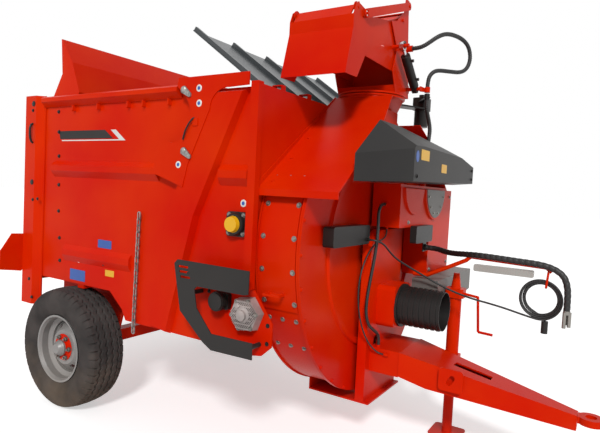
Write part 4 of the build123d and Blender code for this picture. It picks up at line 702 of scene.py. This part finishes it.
rail_tabs = [slab([(x, tab_top), (x + tab_width, tab_top), (x + tab_width, tab_foot + 4), (x, tab_foot)],
                  side * 850.2, side * tab_reach, 1)
             for side in (-1, 1) for x in (-40, 205, 480, 610, 815)]
piece("rail_tabs", rail_tabs, "machine_red", "machine")

# %% [markdown]
# The conveyor gearbox is a finned casting. Its cover has a ring of screws and a filler plug, and its
# fins are bars of a circle: at each distance from the middle, a bar is as long as the circle is
# wide there. They are made level and then turned together, because the casting is mounted aslant.

# %% Gearbox screws and fins
gearbox_x, gearbox_face, gearbox_height, screw_circle = 1428, -903, 832, 76
gearbox_middle = (gearbox_x, gearbox_face, gearbox_height)
screws = [(gearbox_x + screw_circle * cos(turn), gearbox_face, gearbox_height + screw_circle * sin(turn))
          for turn in np.radians(np.arange(6) * 60 + 8)]
bolts("gearbox_screws", screws, (0, -1, 0), 9, "plain_steel")
cap_profile = [(0, 12), (34, 12), (40, 8), (42, 0), (0, 0)]
filler_profile = [(0, 14), (12, 14), (16, 10), (16, 0), (0, 0)]
cap = stood(turned(cap_profile, 36), gearbox_middle, (0, -1, 0))
filler = stood(turned(filler_profile, 6), (1392, gearbox_face, 872), (0, -1, 0))
piece("gearbox_cover", [cap, filler], "gearbox_aluminium", "machine")
casting_radius, fin_pitch, fin_half, fin_depth = 74, 9, 1.8, 9.5
fin_turn = np.array(Matrix.Rotation(radians(-52), 3, "Y"))
fins = []
for offset in range(-7 * fin_pitch, 7 * fin_pitch + 1, fin_pitch):
    reach = (casting_radius**2 - offset**2) ** 0.5
    low, high = offset - fin_half, offset + fin_half
    points, faces = slab([(-reach, low), (reach, low), (reach, high), (-reach, high)], 0, -fin_depth, 1)
    fins.append((points @ fin_turn.T + gearbox_middle, faces))
piece("gearbox_ribs", fins, "gearbox_aluminium", "machine")

# %% [markdown]
# ## Front of the machine
# The belt guard has two blank yellow labels and a blue oval one. Beside it, half of the tower's round
# cover hangs below the guard, held by steel bolts.

# %% Labels and bolts at the front
guard_face, front_label_thick = 2050.1, 0.8
guard_labels = [slab(rounded(-250, 1648, -120, 1704, 5), guard_face, front_label_thick, 0),
                slab(rounded(110, 1600, 210, 1650, 5), guard_face, front_label_thick, 0)]
piece("guard_labels", guard_labels, "bearing_yellow", "machine")
bolts("guard_bolts", [(2050, -300, 1560), (2050, 800, 1590), (2050, 800, 1650)], (1, 0, 0), 9)
tower_spots = [(1900, 20, 1300), (1900, 20, 1470), (1900, 820, 1000), (1900, 820, 1460), (1900, 450, 980)]
bolts("tower_bolts", tower_spots, (1, 0, 0), 9, "plain_steel")

# %% [markdown]
# The round cover and the oval mark are both curves of cosine and sine, cut into short straight runs.

# %% Round cover and oval mark
cover_y, cover_height, cover_radius, cover_face, cover_thick = 475, 1502, 182, 1912.2, 3
cover_outline = [(cover_y + cover_radius * cos(turn), cover_height + cover_radius * sin(turn))
                 for turn in np.linspace(np.pi, 2 * np.pi, 33)]
piece("tower_cover", [slab(cover_outline, cover_face, cover_thick, 0)], "grey_plastic", "machine")
cover_bolt_circle, cover_bolt_height = 150, 1496
cover_bolts = [(cover_face + cover_thick, cover_y + cover_bolt_circle * cos(turn),
                cover_bolt_height + cover_bolt_circle * sin(turn))
               for turn in np.radians(range(195, 350, 30))]
bolts("tower_cover_bolts", cover_bolts, (1, 0, 0), 8, "plain_steel")
mark_y, mark_height, mark_half_width, mark_half_height = -305, 1662, 22, 30
mark_outline = [(mark_y + mark_half_width * cos(turn), mark_height + mark_half_height * sin(turn))
                for turn in np.linspace(0, 2 * np.pi, 32, endpoint=False)]
mark = slab(mark_outline, guard_face, front_label_thick, 0)
piece("guard_mark", [mark], "label_blue", "machine")


# %% [markdown]
# ## Hoses and cables
# Each hose is one smooth spline through the route it is clipped along. Thin ones are curves with a
# round bevel. Those with a spiral wrap are mesh tubes that follow the same spline, with a ridge
# that winds round them.

# %% Cord helpers
wrap_step = 0.0022


def route_curve(name, route):
    """Curve object of one open spline whose control points are the route."""
    curve = bpy.data.curves.new(name, "CURVE")
    curve.dimensions = "3D"
    curve.resolution_u = 10
    spline = curve.splines.new("NURBS")
    places = metres(route)
    spline.points.add(len(places) - 1)
    for point, place in zip(spline.points, places):
        point.co = (*place, 1.0)
    spline.order_u = 3
    spline.use_endpoint_u = True
    made = bpy.data.objects.new(name, curve)
    scene.collection.objects.link(made)
    return made


def line_of(curve_object):
    """Points along a curve without bevel, as Blender draws it."""
    mesh = bpy.data.meshes.new_from_object(curve_object)
    points = np.array([vertex.co[:] for vertex in mesh.vertices])
    bpy.data.meshes.remove(mesh)
    return points


def run_length(points):
    """Length of a line of points: the distances from each to the next, added up."""
    return float(np.linalg.norm(np.diff(points, axis=0), axis=1).sum())


def resampled(points, step):
    """The same line at even steps."""
    along = np.concatenate([[0], np.cumsum(np.linalg.norm(np.diff(points, axis=0), axis=1))])
    even = np.linspace(0, along[-1], max(int(along[-1] / step), 8))
    return np.stack([np.interp(even, along, column) for column in points.T], axis=-1)


def cable(name, route, diameter, replaced, body="machine"):
    """A plain round cable: the route's curve with a bevel; its measured length is printed."""
    made = route_curve(name, route)
    length = run_length(line_of(made))
    made.data.bevel_depth = diameter / 2
    made.data.bevel_resolution = 5
    made.data.use_fill_caps = True
    made.data.materials.append(finishes["hose_rubber"])
    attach(made, body)
    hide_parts(*replaced)
    print(name, round(length, 2), "m")
    return made


def wrapped_hose(name, route, diameter, replaced, ridge, pitch, body="machine"):
    """A hose with a spiral wrap: a ridged tube along the route's spline."""
    guide = route_curve(name + "_line", route)
    line = line_of(guide)
    bpy.data.objects.remove(guide)
    shape = tube(resampled(line, wrap_step), diameter / 2 - ridge, 20, ridge, pitch)
    made = piece(name, [shape], "hose_rubber", body, smooth=80, scale=np.asarray)
    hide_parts(*replaced)
    return made


# %% [markdown]
# The two hoses at the chute carry the pressure for its ram and are wrapped against chafing.

# %% Hoses at the chute
wrap_ridge, wrap_pitch = 0.0009, 0.011
loop_route = [(1812, 150, 2350), (1849, 150, 2350), (1884, 152, 2360), (1916, 162, 2382), (1944, 192, 2414),
              (1966, 244, 2444), (1984, 314, 2463), (2004, 396, 2470), (2022, 478, 2468), (2044, 521, 2440),
              (2054, 548, 2393), (2054, 548, 2337), (2040, 524, 2288), (2014, 483, 2262), (1968, 408, 2256),
              (1918, 327, 2251), (1894, 290, 2228), (1880, 268, 2186), (1880, 268, 2135)]
rise_route = [(1868, 330, 1546), (1868, 330, 1596), (1871, 333, 1652), (1876, 336, 1712), (1882, 336, 1774),
              (1887, 334, 1830), (1889, 338, 1876), (1886, 328, 1918), (1882, 302, 1962), (1878, 276, 2010),
              (1878, 276, 2062)]
wrapped_hose("chute_hose", loop_route, 0.026, ["hose_loop"], wrap_ridge, wrap_pitch,
             "neck")
wrapped_hose("rising_hose", rise_route, 0.026, ["hose_rise"], wrap_ridge, wrap_pitch)

# %% [markdown]
# The bundle on the mast ends in the couplings that hang in front of it. Below it, a clear sleeve for
# papers is clipped to the rail.

# %% Mast bundle and sleeve
mast_route = [(1920, 322, 1134), (1966, 322, 1134), (2012, 308, 1130), (2066, 268, 1123), (2130, 210, 1126),
              (2200, 158, 1134), (2280, 122, 1140), (2380, 112, 1138), (2500, 110, 1132), (2610, 110, 1128),
              (2682, 110, 1112), (2732, 107, 1078), (2751, 104, 1020), (2754, 104, 960), (2754, 104, 902)]
wrapped_hose("mast_bundle", mast_route, 0.034, ["mast_hoses"], 0.0006, 0.03)
sleeve_face, sleeve_thick = 138, 24
sleeve = slab(rounded(2262, 1046, 2580, 1086, 9), sleeve_face, sleeve_thick, 1)
piece("mast_tool_sleeve", [sleeve], "clear_sleeve", "machine")

# %% [markdown]
# The control cable ends in a coil on the mast's hook. The coil's turns come from a loop, each beside
# the last and a little tighter, and their centre drifts, as a hand leaves them.

# %% Coiled cable
cable_route = [(1800, -290, 1204), (1828, -290, 1204), (1850, -275, 1198), (1859, -243, 1186),
               (1858, -196, 1168), (1856, -136, 1136), (1870, -66, 1090), (1912, 12, 1044), (1984, 70, 996),
               (2072, 98, 950), (2164, 112, 914), (2262, 118, 890), (2366, 122, 876), (2448, 127, 862),
               (2520, 130, 846)]
coil_x, coil_height, coil_start, coil_angle = 2620, 937, 130, 250
coil_pitch, coil_turns, turn_points = 10.0, 4, 16
outer_turn, turn_drop, coil_drift = 110.0, 7.4, 2.5
for step in range(coil_turns * turn_points + 1):
    turns_done = step / turn_points
    angle = radians(coil_angle + 360 * turns_done)
    radius = outer_turn - turn_drop * turns_done
    centre_x = coil_x + coil_drift * sin(2.3 * turns_done + 0.6)
    cable_route.append((centre_x + radius * cos(angle), coil_start + coil_pitch * turns_done,
                        coil_height + radius * sin(angle)))
cable_route += [(2616, 167, 848), (2638, 160, 842), (2650, 152, 832), (2650, 150, 821)]
cable("control_cable", cable_route, 0.011, ["mast_cable", "cable_coil"])

# %% [markdown]
# Two lines hang down the front of the column: a thin cable from the control box, and a hose.

# %% Lines down the column
down_cable_route = [(1802, -60, 1256), (1802, -60, 1230), (1802, -80, 1208), (1802, -122, 1196),
                    (1802, -186, 1186), (1798, -256, 1156), (1794, -322, 1096), (1790, -362, 1016),
                    (1788, -374, 926), (1788, -358, 834), (1790, -322, 744), (1796, -272, 664),
                    (1808, -226, 606), (1828, -196, 572), (1852, -184, 556), (1880, -184, 556)]
down_hose_route = [(1812, -136, 1402), (1812, -170, 1402), (1812, -200, 1385), (1812, -217, 1354),
                   (1816, -221, 1300), (1819, -228, 1220), (1818, -240, 1134), (1812, -256, 1040),
                   (1806, -276, 944), (1803, -290, 860), (1804, -290, 786), (1810, -262, 726),
                   (1820, -212, 690), (1828, -172, 666), (1830, -152, 633), (1830, -152, 596)]
cable("column_cable", down_cable_route, 0.009, ["down_cable"])
cable("column_hose", down_hose_route, 0.018, ["down_hose"])
